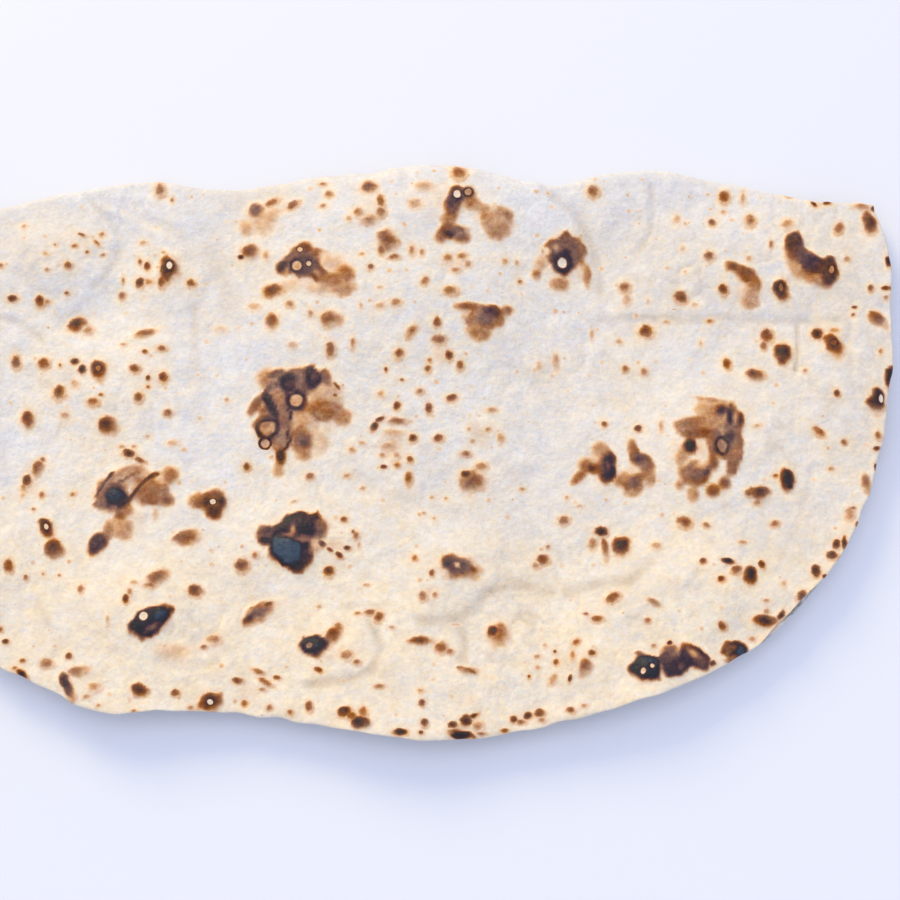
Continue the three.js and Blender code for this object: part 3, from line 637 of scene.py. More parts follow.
def paintMarks(x, y, wobble, heat):
    # lays each mark over what is there, the hotter ones with a sharper edge
    for mark in paintedMarks:
        size = (mark[2] + mark[3]) / 4
        near, across, along = spotShape(x, y, mark, max(mark[2], mark[3]) * 0.8 + 8)
        away = np.hypot(across, along) * (1 + spotLook["markWander"] * wobble[near])
        edge = (spotLook["markEdge"] - spotLook["hotMarkEdge"] * min(mark[4], 1)) / size
        share = 1 - soft(1 - edge, 1 + edge, away)
        heat[near] += (mark[4] - heat[near]) * share


def warmRound(x, y, spots, heat, glow):
    # the dough round each spot is a little warmer
    for spot in spots:
        hot = spot[4]
        size = (spot[2] + spot[3]) / 4
        near, across, along = spotShape(x, y, spot, max(spot[2], spot[3]) * 0.8 + 16)
        away = np.hypot(across, along)
        halo = min(spotLook["haloHeat"], spotLook["haloShare"] * hot)
        warmed = min(1.0, spotLook["glow"] * hot)
        heat[near] = np.maximum(heat[near], halo * (1 - soft(0.9, 1.2 + 5.0 / size, away)))
        glow[near] = np.maximum(glow[near], warmed * (1 - soft(0.8, 1.3 + 11 / size, away)))


smallSpots = {
    "sets": ("spotsA", "spotsB", "spotsC", "spotsD"),
    "largest": 17,      # pixels across, larger ones are browned point by point
    "spare": 4.5,       # pixels kept free round each one within its set
    "gap": 4,           # pixels between two of a set
}


def sortSpots(spots):
    # small spots go into sets whose members don't touch, the others are left over
    sets = [[] for _ in smallSpots["sets"]]
    left = []
    for spot in spots:
        reach = max(spot[2:4]) * 0.6 + smallSpots["spare"]
        free = [
            chosen for chosen in sets
            if all(math.dist(spot[:2], other[:2]) > reach + otherReach + smallSpots["gap"]
                   for other, otherReach in chosen)
        ]
        if free and max(spot[2:4]) <= smallSpots["largest"]:
            free[0].append((spot, reach))
        else:
            left.append(spot)
    return sets, left


def spotPlaces(x, y, chosen):
    # the place of each point within its nearest spot, and that spot's heat
    place = np.zeros((len(x), 3))
    nearest = np.full(len(x), 1e9)
    for spot, reach in chosen:
        near, across, along = spotShape(x, y, spot, reach + 8)
        beyond = np.hypot(x[near] - spot[0], y[near] - spot[1]) - reach
        closer = beyond < nearest[near]
        near, across, along, beyond = near[closer], across[closer], along[closer], beyond[closer]
        nearest[near] = beyond
        place[near] = np.stack([across, along, np.where(beyond < 0, spot[4], 0)], -1)
    return place


def burstPlaces(x, y, bursts):
    # the place of each point within the nearest burst blister, in two sets so that neighbours don't meet
    sets = ([], [])
    for burst in bursts:
        taken = any(
            math.dist(burst[:2], other[:2]) < 0.8 * (max(burst[2:4]) + max(other[2:4])) + 4
            for other in sets[0]
        )
        sets[taken].append(burst)
    places = []
    for chosen in sets:
        place = np.zeros((len(x), 3))
        nearest = np.full(len(x), 3.5)
        for burst in chosen:
            near, across, along = spotShape(x, y, burst, max(burst[2], burst[3]) * 2)
            away = np.hypot(across, along)
            closer = away < nearest[near]
            near, across, along, away = near[closer], across[closer], along[closer], away[closer]
            nearest[near] = away
            inside = np.where(away < 1.25, 1 + burst[4], 0)
            place[near] = np.stack([across, along, inside], -1)
        places.append(place)
    return places


def distanceToLine(x, y, points):
    # how far each point lies from a line of straight stretches
    nearest = np.full_like(x, 1e9)
    for (startX, startY), (endX, endY) in zip(points, points[1:]):
        runX = endX - startX
        runY = endY - startY
        share = ((x - startX) * runX + (y - startY) * runY) / (runX**2 + runY**2)
        share = np.clip(share, 0, 1)
        nearest = np.minimum(nearest, np.hypot(x - startX - share * runX, y - startY - share * runY))
    return nearest


def randomSpots(seed, count, low, high, sizes, heats):
    # spots anywhere between low and high
    draw = np.random.default_rng(seed)
    spots = []
    for _ in range(count):
        size = draw.uniform(*sizes) * draw.uniform(0.6, 1.0)
        spots.append((
            draw.uniform(low[0], high[0]), draw.uniform(low[1], high[1]),
            size * draw.uniform(0.8, 1.3), size, draw.uniform(*heats), draw.uniform(-60, 60),
        ))
    return spots


def unevenEdge(x, y, seed):
    # how the edges of spots wander from place to place
    return 0.7 * unevenness(x, y, 8, seed) + 0.25 * unevenness(x, y, 4, seed + 50)


# how warm the plain dough is, from cool white at 0 to warm cream at 1
warming = {
    "plain": 0.37,
    "rim": (0.44, 430, 650),        # more towards the open rim: share, first and last picture row
    "rightEnd": (0.08, 800, 890),   # more towards the right: share, first and last picture column
    "fold": (-0.35, 255, 180),      # less on the fold
    "patches": [(0.12, 70, 31), (0.14, 26, 32), (0.16, 9, 33)],     # share, size in pixels, seed
    "coolPlaces": -0.3,
    "glow": 0.5,                    # more round the browned places
}


def brownUpperLeaf(x, y, spots):
    # the heat, the warmth and the ashiness of the shown leaf
    wobble = unevenEdge(x, y, 3)
    heat = np.zeros_like(x)
    glow = np.zeros_like(x)
    warmRound(x, y, brownSpots + paintedMarks, heat, glow)
    layOnSpots(x, y, spots, wobble, heat)
    paintMarks(x, y, wobble, heat)
    for points, width, hot in burntLines:
        away = distanceToLine(x, y, points) * (1 + spotLook["lineWander"] * wobble) / (width / 2)
        heat[:] = np.maximum(heat, hot * (1 - soft(0.5, 1.3, away)))
    for spot in paleSpots:
        near, across, along = spotShape(x, y, spot, max(spot[2], spot[3]))
        away = np.hypot(across, along) * (1 + spotLook["lineWander"] * wobble[near])
        heat[near] *= soft(0.4, 1.15, away) * 0.85 + 0.15

    patchy = 0.8 + 0.45 * unevenness(x, y, 9, 36) + 0.2 * unevenness(x, y, 5, 37)
    for middleX, middleY, width, height, hot in goldenPlaces:
        away = ((x - middleX) / width) ** 2 + ((y - middleY) / height) ** 2
        heat[:] = np.maximum(heat, hot * patchy * dome(away * 2.6))

    warmth = warming["plain"] + warming["glow"] * glow
    for name, place in (("rim", y), ("rightEnd", x), ("fold", y)):
        share, first, last = warming[name]
        warmth += share * soft(first, last, place)
    for share, size, seed in warming["patches"]:
        warmth += share * unevenness(x, y, size, seed)
    for middleX, middleY, width, height in coolPlaces:
        away = ((x - middleX) / width) ** 2 + ((y - middleY) / height) ** 2
        warmth += warming["coolPlaces"] * dome(away)

    ash = np.zeros_like(x)
    for middleX, middleY, width, height in ashPlaces:
        away = np.hypot((x - middleX) / width, (y - middleY) / height) * 2
        ash = np.maximum(ash, 1 - soft(0.7, 1.25, away))
    return heat, warmth, ash


def brownHiddenSide(x, y, side):
    # the sides that aren't shown are browned in the same way, at random places
    look = hiddenBrowning
    seed, count = look[side]
    heat = np.zeros_like(x)
    glow = np.zeros_like(x)
    low = (x.min(), y.min())
    high = (x.max(), y.max())
    smallCount = count * look["smallForEachLarge"]
    small = randomSpots(seed, smallCount, low, high, look["smallSizes"], look["smallHeats"])
    large = randomSpots(seed + 1, count, low, high, look["largeSizes"], look["largeHeats"])
    warmRound(x, y, small + large, heat, glow)
    layOnSpots(x, y, small + large, unevenEdge(x, y, 5), heat)
    warmth = 0.4 + 0.25 * unevenness(x, y, 60, 34) + 0.2 * unevenness(x, y, 20, 35) + 0.4 * glow
    return heat, warmth


# creases in the photograph's frame: the points they run through, width in pixels, rise in mm, and the tan
# painted shade laid along them
creases = [
    # right end of the large bubble
    ([(545, 190), (576, 214), (590, 242), (598, 264), (600, 290)], 7, -1.0, 0.55),
    ([(530, 190), (556, 212), (574, 240), (582, 266)], 12, 0.5, 0.0),
    # left end of the large bubble
    ([(100, 206), (121, 215), (153, 232), (180, 246), (199, 262), (206, 276)], 6, 0.9, 0.0),
    ([(128, 211), (160, 226), (188, 240), (207, 255), (218, 280), (230, 304), (248, 330)], 13, -0.8, 0.3),
    ([(206, 232), (212, 256), (220, 280), (232, 304)], 20, -0.6, 0.3),
    ([(196, 306), (195, 335), (197, 368)], 8, -0.5, 0.45),
    # round the bubble at the left end
    ([(86, 193), (96, 208), (110, 222), (120, 240), (118, 258), (106, 276), (92, 287)], 5, -0.7, 0.4),
    ([(80, 200), (92, 214), (104, 228), (112, 244), (108, 260), (98, 272)], 6, 0.5, 0.0),
    ([(0, 318), (18, 322), (32, 331), (44, 342)], 6, -0.6, 0.4),
    ([(30, 250), (20, 272), (34, 292), (60, 296)], 7, -0.4, 0.25),
    # right end
    ([(600, 320), (640, 317), (680, 320), (724, 317), (760, 320), (790, 322), (850, 318)], 7, -0.25, 0.6),
    ([(590, 310), (680, 309), (760, 310)], 10, 0.25, 0.0),
    ([(651, 188), (653, 212), (648, 236), (640, 250)], 5, -0.6, 0.5),
    ([(692, 194), (690, 216), (696, 240)], 5, -0.4, 0.35),
    ([(764, 236), (760, 268), (764, 300)], 5, -0.4, 0.35),
    ([(797, 326), (797, 345), (795, 370)], 4, -0.8, 1.2),
    ([(852, 300), (848, 340), (854, 394)], 6, -0.4, 0.4),
    ([(655, 250), (690, 240), (722, 246)], 5, -0.3, 0.3),
    ([(828, 232), (838, 262), (842, 300)], 6, -0.4, 0.4),
    # low middle
    ([(420, 621), (455, 619), (476, 607), (489, 591), (511, 584), (552, 592)], 9, -0.35, 0.8),
    ([(459, 622), (465, 642), (462, 660)], 8, -0.3, 0.7),
    ([(566, 594), (594, 584), (628, 580), (649, 562)], 9, -0.35, 0.8),
    ([(678, 596), (691, 582), (700, 570)], 5, -0.4, 0.5),
    ([(371, 618), (381, 648), (372, 670), (342, 680), (306, 684)], 7, -0.6, 0.8),
    ([(402, 612), (372, 606), (340, 608)], 6, -0.3, 0.3),
    # low left
    ([(196, 640), (216, 632), (232, 655), (250, 690)], 7, -0.5, 0.4),
    ([(160, 660), (186, 668), (216, 662)], 8, -0.4, 0.5),
    ([(40, 610), (60, 640), (50, 668)], 7, -0.4, 0.35),
    # low right
    ([(600, 612), (640, 600), (700, 585), (740, 560)], 7, -0.35, 0.3),
    ([(690, 520), (740, 505), (800, 490)], 7, -0.35, 0.3),
    ([(780, 560), (800, 520), (812, 470)], 6, -0.4, 0.4),
    # broad and faint
    ([(520, 320), (600, 350), (690, 352)], 26, 0.5, 0.0),
    ([(430, 610), (300, 640), (200, 670)], 26, 0.4, 0.0),
    ([(820, 240), (850, 300), (860, 380)], 20, 0.4, 0.0),
    ([(120, 300), (180, 330), (205, 400), (190, 460)], 18, -0.4, 0.1),
    ([(350, 480), (420, 500), (500, 540), (560, 560)], 14, -0.35, 0.1),
    ([(600, 400), (640, 400), (665, 380)], 10, -0.3, 0.15),
]

# places with a net of fine wrinkles: x, y, half width, half height, strength
wrinkledPlaces = [
    (720, 260, 190, 110, 1.0), (150, 250, 130, 110, 0.8), (520, 620, 190, 90, 0.8),
    (560, 360, 140, 90, 0.6), (800, 430, 110, 120, 0.7), (90, 420, 110, 110, 0.6),
    (200, 640, 160, 80, 0.7), (330, 480, 120, 80, 0.5),
]

# places painted a little darker and tan, as painted shade: x, y, half width, half height, strength
paintedShadePlaces = [
    (840, 250, 120, 90, 0.26), (860, 400, 90, 160, 0.26), (690, 250, 110, 80, 0.18),
    (810, 520, 90, 80, 0.22), (720, 360, 110, 50, 0.17), (250, 195, 90, 34, 0.28),
    (30, 240, 80, 50, 0.24), (560, 520, 200, 120, 0.06), (200, 300, 30, 60, 0.2),
]

# rises in mm, sizes in pixels
relief = {
    "hills": [(0.75, 46, 7), (0.5, 21, 8), (0.3, 10, 9), (0.14, 5, 10)],    # rise, size, seed
    "nets": [(38, 0.13, 61), (24, 0.16, 63)],                               # size, width of a line, seed
    # how deep the wrinkle lines sink, and how much tan painted shade they get
    "netDepth": 0.9,
    "netShade": 0.8,
    "tints": [(0.1, 22, 71), (0.07, 60, 72)],                               # tint, size, seed
    "browned": 0.75,
}


def wrinkleNet(x, y):
    # thin lines where slow random hills cross nought, each as strong as its place is wrinkled
    where = np.zeros_like(x)
    for middleX, middleY, width, height, strength in wrinkledPlaces:
        away = ((x - middleX) / width) ** 2 + ((y - middleY) / height) ** 2
        where = np.maximum(where, strength * dome(away * 0.6))
    net = np.zeros_like(x)
    for size, width, seed in relief["nets"]:
        hills = unevenness(x, y * 0.8, size, seed) + 0.4 * unevenness(x, y, size * 0.45, seed + 1)
        net = np.maximum(net, dome((hills / width) ** 2) * (0.5 + 0.5 * unevenness(x, y, 50, seed + 5)))
    return net * where


def reliefOfUpperLeaf(x, y, heat):
    # how high the dough stands at each point, and how much tan it is painted there: painted shade along
    # creases, wrinkle lines and shaded places, and a random tan tone
    rise = np.zeros_like(x)
    shadeAndTone = np.zeros_like(x)
    # each crease rises or sinks, and tan painted shade is laid along it
    for points, width, high, tan in creases:
        line = dome((distanceToLine(x, y, points) / width * 0.9) ** 2)
        rise += high * line
        shadeAndTone = np.maximum(shadeAndTone, tan * line)
    # the wrinkle lines sink and get tan painted shade as well
    net = wrinkleNet(x, y)
    rise -= relief["netDepth"] * net
    shadeAndTone = np.maximum(shadeAndTone, relief["netShade"] * net)
    # these places get the same tan painted shade
    for middleX, middleY, width, height, strength in paintedShadePlaces:
        away = ((x - middleX) / width) ** 2 + ((y - middleY) / height) ** 2
        shadeAndTone = np.maximum(shadeAndTone, strength * dome(away * 0.5))
    for share, size, seed in relief["tints"]:
        shadeAndTone += share * soft(-0.1, 0.8, unevenness(x, y, size, seed))
    for high, size, seed in relief["hills"]:
        rise += high * unevenness(x, y, size, seed)
    rise += relief["browned"] * soft(0.05, 0.75, heat)
    return rise, shadeAndTone * (0.75 + 0.25 * unevenness(x, y, 12, 66))


def blisterRelief(x, y, spots):
    # browned places have risen a little
    rise = np.zeros_like(x)
    for spot in spots:
        middleX, middleY, width, height = spot[:4]
        reach = max(width, height)
        near = np.nonzero((np.abs(x - middleX) < reach) & (np.abs(y - middleY) < reach))[0]
        size = math.sqrt(width * height)
        away = np.hypot((x[near] - middleX) / width, (y[near] - middleY) / height) * 1.5
        lift = spotLook["lift"] * min(size, spotLook["largestLift"]) / spotLook["middlingSize"]
        rise[near] = np.maximum(rise[near], lift * dome(away**2))
    return rise


def burstRelief(x, y, spots):
    # burst ones have sunk in
    sink = np.zeros_like(x)
    for spot in spots:
        middleX, middleY, width, height = spot[:4]
        away = np.hypot((x - middleX) / width, (y - middleY) / height) * 2.6
        sink = np.maximum(sink, spotLook["burstDepth"] * dome(away**2))
    return sink


def rimShareOf(fromRim):
    # the share of the thickness that is left near the open rim
    shares = np.array(bread["rimShares"])
    return shares[np.minimum(fromRim, len(shares) - 1)]


def raiseSheet():
    # the outer skin of the dough, with its bubbles from the upper part of the fold on
    middle = middleOfSheet()
    outward = outwardOf(middle)
    rows, columns = middle.shape[0] - 1, middle.shape[1] - 1
    row = np.arange(rows + 1)[:, None]
    column = np.arange(columns + 1)[None, :]
    fromRim = np.minimum(np.minimum(row, rows - row), np.minimum(column, columns - column))
    rimShare = rimShareOf(fromRim)
    turn = (row - bread["lowerRows"]) / bread["bendRows"]
    start = bread["bubbleStart"]
    raised = ease((turn - start) / (1 - 2 * start)) * np.ones_like(rimShare)
    lift = puff(middle[..., 0], middle[..., 1]) * raised
    lift += bread["thickness"] / 2 * rimShare
    return middle + outward * lift[..., None], outward, raised, fromRim


def brownSheet(outer, raised):
    # browning and relief of the outer skin, by where each point lies in the photograph
    upperFrom = bread["lowerRows"]
    size = outer[upperFrom:].shape[:2]
    shown = outer[upperFrom:].reshape(-1, 3)
    x = pictureX(shown)
    y = pictureY(shown)
    spotSets, otherSpots = sortSpots(brownSpots)
    print("spots left over for the mesh:", len(otherSpots), "of", len(brownSpots))
    heat, warmth, ash = brownUpperLeaf(x, y, otherSpots)
    rise, shadeAndTone = reliefOfUpperLeaf(x, y, heat)
    rise += blisterRelief(x, y, brownSpots + paintedMarks)
    rise -= burstRelief(x, y, burstSpots)
    skin = {}
    parts = {"heat": heat, "warmth": warmth, "ash": ash, "shadeAndTone": shadeAndTone, "rise": rise}
    for name, values in parts.items():
        skin[name] = np.zeros(outer.shape[:2])
        skin[name][upperFrom:] = values.reshape(size)
    skin["rise"] *= raised
    skin["marks"] = {}
    places = burstPlaces(x, y, burstSpots) + [spotPlaces(x, y, chosen) for chosen in spotSets]
    for name, place in zip(("burstA", "burstB") + smallSpots["sets"], places):
        skin["marks"][name] = np.zeros_like(outer)
        skin["marks"][name][upperFrom:] = place.reshape(*size, 3)

    hidden = outer[:upperFrom].reshape(-1, 3) / view["mmPerPixel"]
    heat, warmth = brownHiddenSide(hidden[:, 0], hidden[:, 1], "under")
    toFold = upperFrom - np.arange(upperFrom)[:, None]
    skin["heat"][:upperFrom] = heat.reshape(upperFrom, -1) * soft(0, 6, toFold)
    skin["warmth"][:upperFrom] = warmth.reshape(upperFrom, -1)
    return skin


def ruffleRim(outer, fromRim):
    # the open rim of the upper leaf waves in and out a little
    upper = np.arange(len(outer))[:, None] > bread["lowerRows"]
    reach = soft(bread["ruffleRows"], 0, fromRim) * upper
    for axis, seed in ((0, 21), (1, 22)):
        hills = unevenness(outer[..., 0], outer[..., 1], bread["ruffleSize"], seed)
        outer[..., axis] += reach * bread["ruffle"] * hills
    hills = unevenness(outer[..., 0], outer[..., 1], bread["ruffleRiseSize"], 23)
    outer[..., 2] += reach * bread["ruffleRise"] * (1 + hills)


def buildBread():
    # one grid, laid out as the folded sheet
    rows = bread["lowerRows"] + bread["bendRows"] + bread["upperRows"]
    bpy.ops.object.select_all(action="DESELECT")
    bpy.ops.mesh.primitive_grid_add(x_subdivisions=bread["columns"], y_subdivisions=rows, size=1.0)
    piece = bpy.context.object
    piece.name = "lavashBread"
    piece.data.name = "lavashBread"

    outer, outward, raised, fromRim = raiseSheet()
    low = outer.min((0, 1))
    high = outer.max((0, 1))
    shift = (cadLow + cadHigh) / 2 - (low + high) / 2
    shift[2] = 0

    skin = brownSheet(outer, raised)
    skin["fromRim"] = fromRim
    rise = np.clip(skin["rise"], *bread["reliefLimits"]) * soft(-1, 7, fromRim)
    outer = outer + outward * rise[..., None]
    ruffleRim(outer, fromRim)
    outer = outer + shift

    piece.data.vertices.foreach_set("co", (outer.reshape(-1, 3) * mm).ravel())
    bpy.ops.object.mode_set(mode="EDIT")
    bpy.ops.mesh.select_all(action="SELECT")
    bpy.ops.mesh.flip_normals()
    bpy.ops.object.mode_set(mode="OBJECT")
    print("sheet shaped:", len(piece.data.vertices), "points")
    return piece, skin, shift


def thicken(piece, skin):
    # gives the dough its thickness, then notes what the material needs to know at each point
    count = len(piece.data.vertices)
    fromRim = skin["fromRim"].ravel()
    rimShare = rimShareOf(fromRim)
    thick = piece.vertex_groups.new(name="doughThickness")
    for share in np.unique(rimShare):
        thick.add(np.nonzero(rimShare == share)[0].tolist(), float(share), "REPLACE")
    solidify = piece.modifiers.new("doughThickness", "SOLIDIFY")
    solidify.thickness = bread["thickness"] * mm
    solidify.offset = -1
    solidify.vertex_group = "doughThickness"
    bpy.ops.object.modifier_apply(modifier="doughThickness")

    # the points of the outer skin come first, then those of the inner one
    places = np.empty(len(piece.data.vertices) * 3)
    piece.data.vertices.foreach_get("co", places)
    inside = places.reshape(-1, 3)[count:] / mm / view["mmPerPixel"]
    innerHeat, innerWarmth = brownHiddenSide(inside[:, 0], inside[:, 1], "inside")
    wrap = soft(3, 0, fromRim)
    innerHeat = innerHeat * (1 - wrap) + skin["heat"].ravel() * wrap
    # the last of these carries painted shade in creases, wrinkles and shaded places, with a random tan tone
    for name, outerPart, innerPart in (
        ("toast", skin["heat"], innerHeat),
        ("warmth", skin["warmth"], innerWarmth),
        ("ash", skin["ash"], innerHeat * 0.5),
        ("shadeAndTan", skin["shadeAndTone"], np.zeros_like(innerHeat)),
    ):
        known = piece.data.attributes.new(name, "FLOAT", "POINT")
        known.data.foreach_set("value", np.concatenate([outerPart.ravel(), innerPart]))
    for name, place in skin["marks"].items():
        known = piece.data.attributes.new(name, "FLOAT_VECTOR", "POINT")
        known.data.foreach_set("vector", np.concatenate([place.ravel(), np.zeros(len(inside) * 3)]))
    print("dough thickened:", len(piece.data.vertices), "points")
    return count


# the parts of the colour map: left, low, width, height
mapAreas = {
    "shown": (0.006, 0.39, 0.988, 0.585),
    "under": (0.006, 0.06, 0.485, 0.30),
    "inside": (0.51, 0.06, 0.48, 0.30),
    "rim": (0.006, 0.015, 0.988, 0.02),
    "foldRoom": 21.0,       # mm kept for the fold in the height of the shown part
    "foldStretch": 1.6,
}


def inMap(area, across, along):
    left, low, width, height = mapAreas[area]
    return np.stack([left + width * across, low + height * along], -1)


def layOutMap(piece, count, rows, columns):
    # one map: the shown leaf over the whole width, the hidden skins small below it
    mesh = piece.data
    places = np.empty(len(mesh.vertices) * 3)
    mesh.vertices.foreach_get("co", places)
    places = places.reshape(-1, 3) / mm
    row = np.arange(count) // (columns + 1)
    column = np.arange(count) % (columns + 1)
    width = cadHigh[0] - cadLow[0]
    depth = cadHigh[1] - cadLow[1]
    across = (places[:count, 0] - cadLow[0]) / width
    along = places[:count, 1] - cadLow[1]
    turn = np.clip((row - bread["lowerRows"]) / bread["bendRows"], 0, 1)
    unrolled = along + (1 - turn) * math.pi * bendRadius * mapAreas["foldStretch"]
    shownMap = inMap("shown", across, unrolled / (depth + mapAreas["foldRoom"]))
    underMap = inMap("under", across, along / depth)
    insideMap = inMap("inside", column / columns, row / rows)

    loops = np.empty(len(mesh.loops), int)
    mesh.loops.foreach_get("vertex_index", loops)
    starts = np.empty(len(mesh.polygons), int)
    sizes = np.empty(len(mesh.polygons), int)
    mesh.polygons.foreach_get("loop_start", starts)
    mesh.polygons.foreach_get("loop_total", sizes)
    faceOfLoop = np.repeat(np.arange(len(starts)), sizes)
    isInner = loops >= count
    base = loops % count
    innerShare = np.bincount(faceOfLoop, isInner) / sizes
    lowestRow = np.full(len(starts), rows + 1)
    np.minimum.at(lowestRow, faceOfLoop, row[base])
    kind = innerShare[faceOfLoop]
    onHidden = (lowestRow < bread["lowerRows"])[faceOfLoop]

    # the rim's faces lie in one thin strip, in the order they follow each other
    rimMap = inMap("rim", (column / columns + row / rows)[base] / 2, isInner)
    outerMap = np.where(onHidden[:, None], underMap[base], shownMap[base])
    layout = np.where((kind == 0)[:, None], outerMap, insideMap[base])
    rimLoop = (kind > 0) & (kind < 1)
    layout[rimLoop] = rimMap[rimLoop]
    for old in list(mesh.uv_layers):
        mesh.uv_layers.remove(old)
    bakeMap = mesh.uv_layers.new(name="OFBake")
    bakeMap.data.foreach_set("uv", layout.ravel())


def thinOut(piece, count, rows, columns):
    # fewer faces inside the fold and underneath, where nothing fine is seen
    row = np.arange(count) // (columns + 1)
    column = np.arange(count) % (columns + 1)
    fine = len(bread["rimSteps"])
    border = (row < fine) | (row > rows - fine) | (column < fine) | (column > columns - fine)
    plainOuter = np.nonzero((row < bread["lowerRows"] - fine) & ~border)[0]
    plainInner = count + np.nonzero(~border)[0]
    plain = piece.vertex_groups.new(name="plainSide")
    plain.add(plainInner.tolist(), bread["insideThinning"], "REPLACE")
    plain.add(plainOuter.tolist(), bread["underThinning"], "REPLACE")
    triangles = sum(len(face.vertices) - 2 for face in piece.data.polygons)
    thin = piece.modifiers.new("thinOut", "DECIMATE")
    thin.ratio = bread["mostTriangles"] / triangles
    thin.vertex_group = "plainSide"
    thin.vertex_group_factor = 1.0
    bpy.ops.object.modifier_apply(modifier="thinOut")
    piece.vertex_groups.clear()
    print("thinned out to", sum(len(face.vertices) - 2 for face in piece.data.polygons), "triangles")


# lights, with places and sizes in metres
light = {
    "key": {"place": (-1.5, 2.6, 1.72), "size": 1.5, "power": 71.5, "colour": (1.0, 0.78, 0.30)},
    "top": {"place": (0.1, -0.2, 1.9), "size": 1.8, "power": 7.3, "colour": (1.0, 1.0, 1.0)},
    "skyColour": (0.742, 0.814, 1.0, 1.0),
    "skyStrength": 0.93,
    "brightness": 1.10,     # how light a white surface lying flat looks
    "gloss": 0.03,          # how much light the surfaces mirror
}


def paint(red, green, blue, alpha=1.0):
    # the colour a surface needs to look like this, 0 to 255, under the lights of this scene
    def surface(c):
        c = c / 255
        c = c / 12.92 if c < 0.04045 else ((c + 0.055) / 1.055) ** 2.4
        return max(0.004, (c - light["gloss"]) / light["brightness"])
    return (surface(red), surface(green), surface(blue), alpha)


dough = {
    "coolDough": paint(238, 235, 236),
    "warmDough": paint(251, 234, 209),
    # the tan of the painted shade in creases, wrinkles and shaded places, also used for a random tan tone
    "shadeAndTan": paint(197, 177, 156),
    "roughness": 0.78,
    "charRoughness": 0.42,
    # heat, colour, how far it covers the dough
    "browning": [
        (0.00, paint(250, 238, 222, 0.0)),
        (0.07, paint(249, 231, 209, 0.6)),
        (0.15, paint(246, 217, 188, 0.88)),
        (0.26, paint(231, 190, 154)),
        (0.38, paint(205, 156, 118)),
        (0.52, paint(172, 119, 85)),
        (0.66, paint(146, 96, 70)),
        (0.80, paint(112, 74, 60)),
        (0.92, paint(80, 55, 52)),
        (1.02, paint(54, 43, 48)),
        # above black the hottest char turns slate blue-grey: partly the char's own grey, partly a painted
        # sheen
        (1.10, paint(60, 64, 76)),
        (1.18, paint(74, 88, 104)),
    ],
    # the same where the skin is burnt thin and greyish
    "charring": [
        (0.00, paint(236, 214, 196, 0.0)),
        (0.26, paint(222, 190, 162)),
        (0.40, paint(186, 152, 132)),
        (0.54, paint(150, 118, 106)),
        (0.68, paint(122, 93, 88)),
        (0.80, paint(94, 73, 78)),
        (0.92, paint(66, 54, 66)),
        (1.02, paint(48, 42, 56)),
        # above black the hottest char turns slate blue-grey: partly the char's own grey, partly a painted
        # sheen
        (1.10, paint(60, 64, 78)),
        (1.18, paint(74, 88, 104)),
    ],
    # pale brown flecks all over
    "flecks": {"scale": 123.0, "smallest": 0.05, "largest": 0.19, "share": 0.34,
               "leastHeat": 0.06, "heat": 0.2},
    "hottest": 1.2,
    "ringHeat": 0.91,       # of the ring round a burst blister
    "subsurface": 0.12,
    "subsurfaceRadius": (1.0, 0.6, 0.35),
    "subsurfaceScale": 0.002,
    "specular": 0.35,
    "bumpStrength": 0.5,
    "bumpDistance": 0.0006,
    # noises: scale, detail, lowest and highest value
    "edgeNoise": (230.0, 4.0, -0.18, 0.18),
    "patchNoise": (380.0, 5.0, -1.0, 1.0),
    "grainNoise": (1000.0, 3.0, -1.0, 1.0),
    "warmNoise": (420.0, 5.0, -0.35, 0.35),
    "tanNoise": (300.0, 4.0, 0.45, 1.0),
    "fineNoise": (460.0, 6.0, 0.92, 1.06),
    "broadNoise": (150.0, 5.0, 0.92, 1.06),
    "hueNoise": (300.0, 3.0, 0.49, 0.51),
    "saturationNoise": (90.0, 4.0, 0.85, 1.2),
    "pitNoise": (430.0, 5.0, 0.0, 1.0),
    "hillNoise": (120.0, 3.0, 0.0, 1.0),
}


def addNode(tree, kind, **settings):
    # settings that start with in_ are input sockets, by name or number
    node = tree.nodes.new(kind)
    for name, value in settings.items():
        if name.startswith("in_"):
            key = name[3:]
            node.inputs[int(key) if key.isdigit() else key].default_value = value
        else:
            setattr(node, name, value)
    return node


def addNoise(tree, place, scale, detail, low, high):
    # a noise stretched to run from low to high
    noise = addNode(tree, "ShaderNodeTexNoise", in_Scale=scale, in_Detail=detail, in_Roughness=0.6)
    tree.links.new(place, noise.inputs["Vector"])
    part = addNode(tree, "ShaderNodeMapRange", in_1=0.3, in_2=0.7, in_3=low, in_4=high)
    tree.links.new(noise.outputs[0], part.inputs[0])
    return part.outputs[0]


def addMath(tree, operation, *values):
    # each value is a number or another node's output
    node = addNode(tree, "ShaderNodeMath", operation=operation)
    for socket, value in zip(node.inputs, values):
        if isinstance(value, (int, float)):
            socket.default_value = value
        else:
            tree.links.new(value, socket)
    return node.outputs[0]


def addStep(tree, value, low, high, atLow, atHigh):
    # a smooth step from one value to another
    node = addNode(tree, "ShaderNodeMapRange", interpolation_type="SMOOTHSTEP",
                   in_1=low, in_2=high, in_3=atLow, in_4=atHigh)
    tree.links.new(value, node.inputs[0])
    return node.outputs[0]


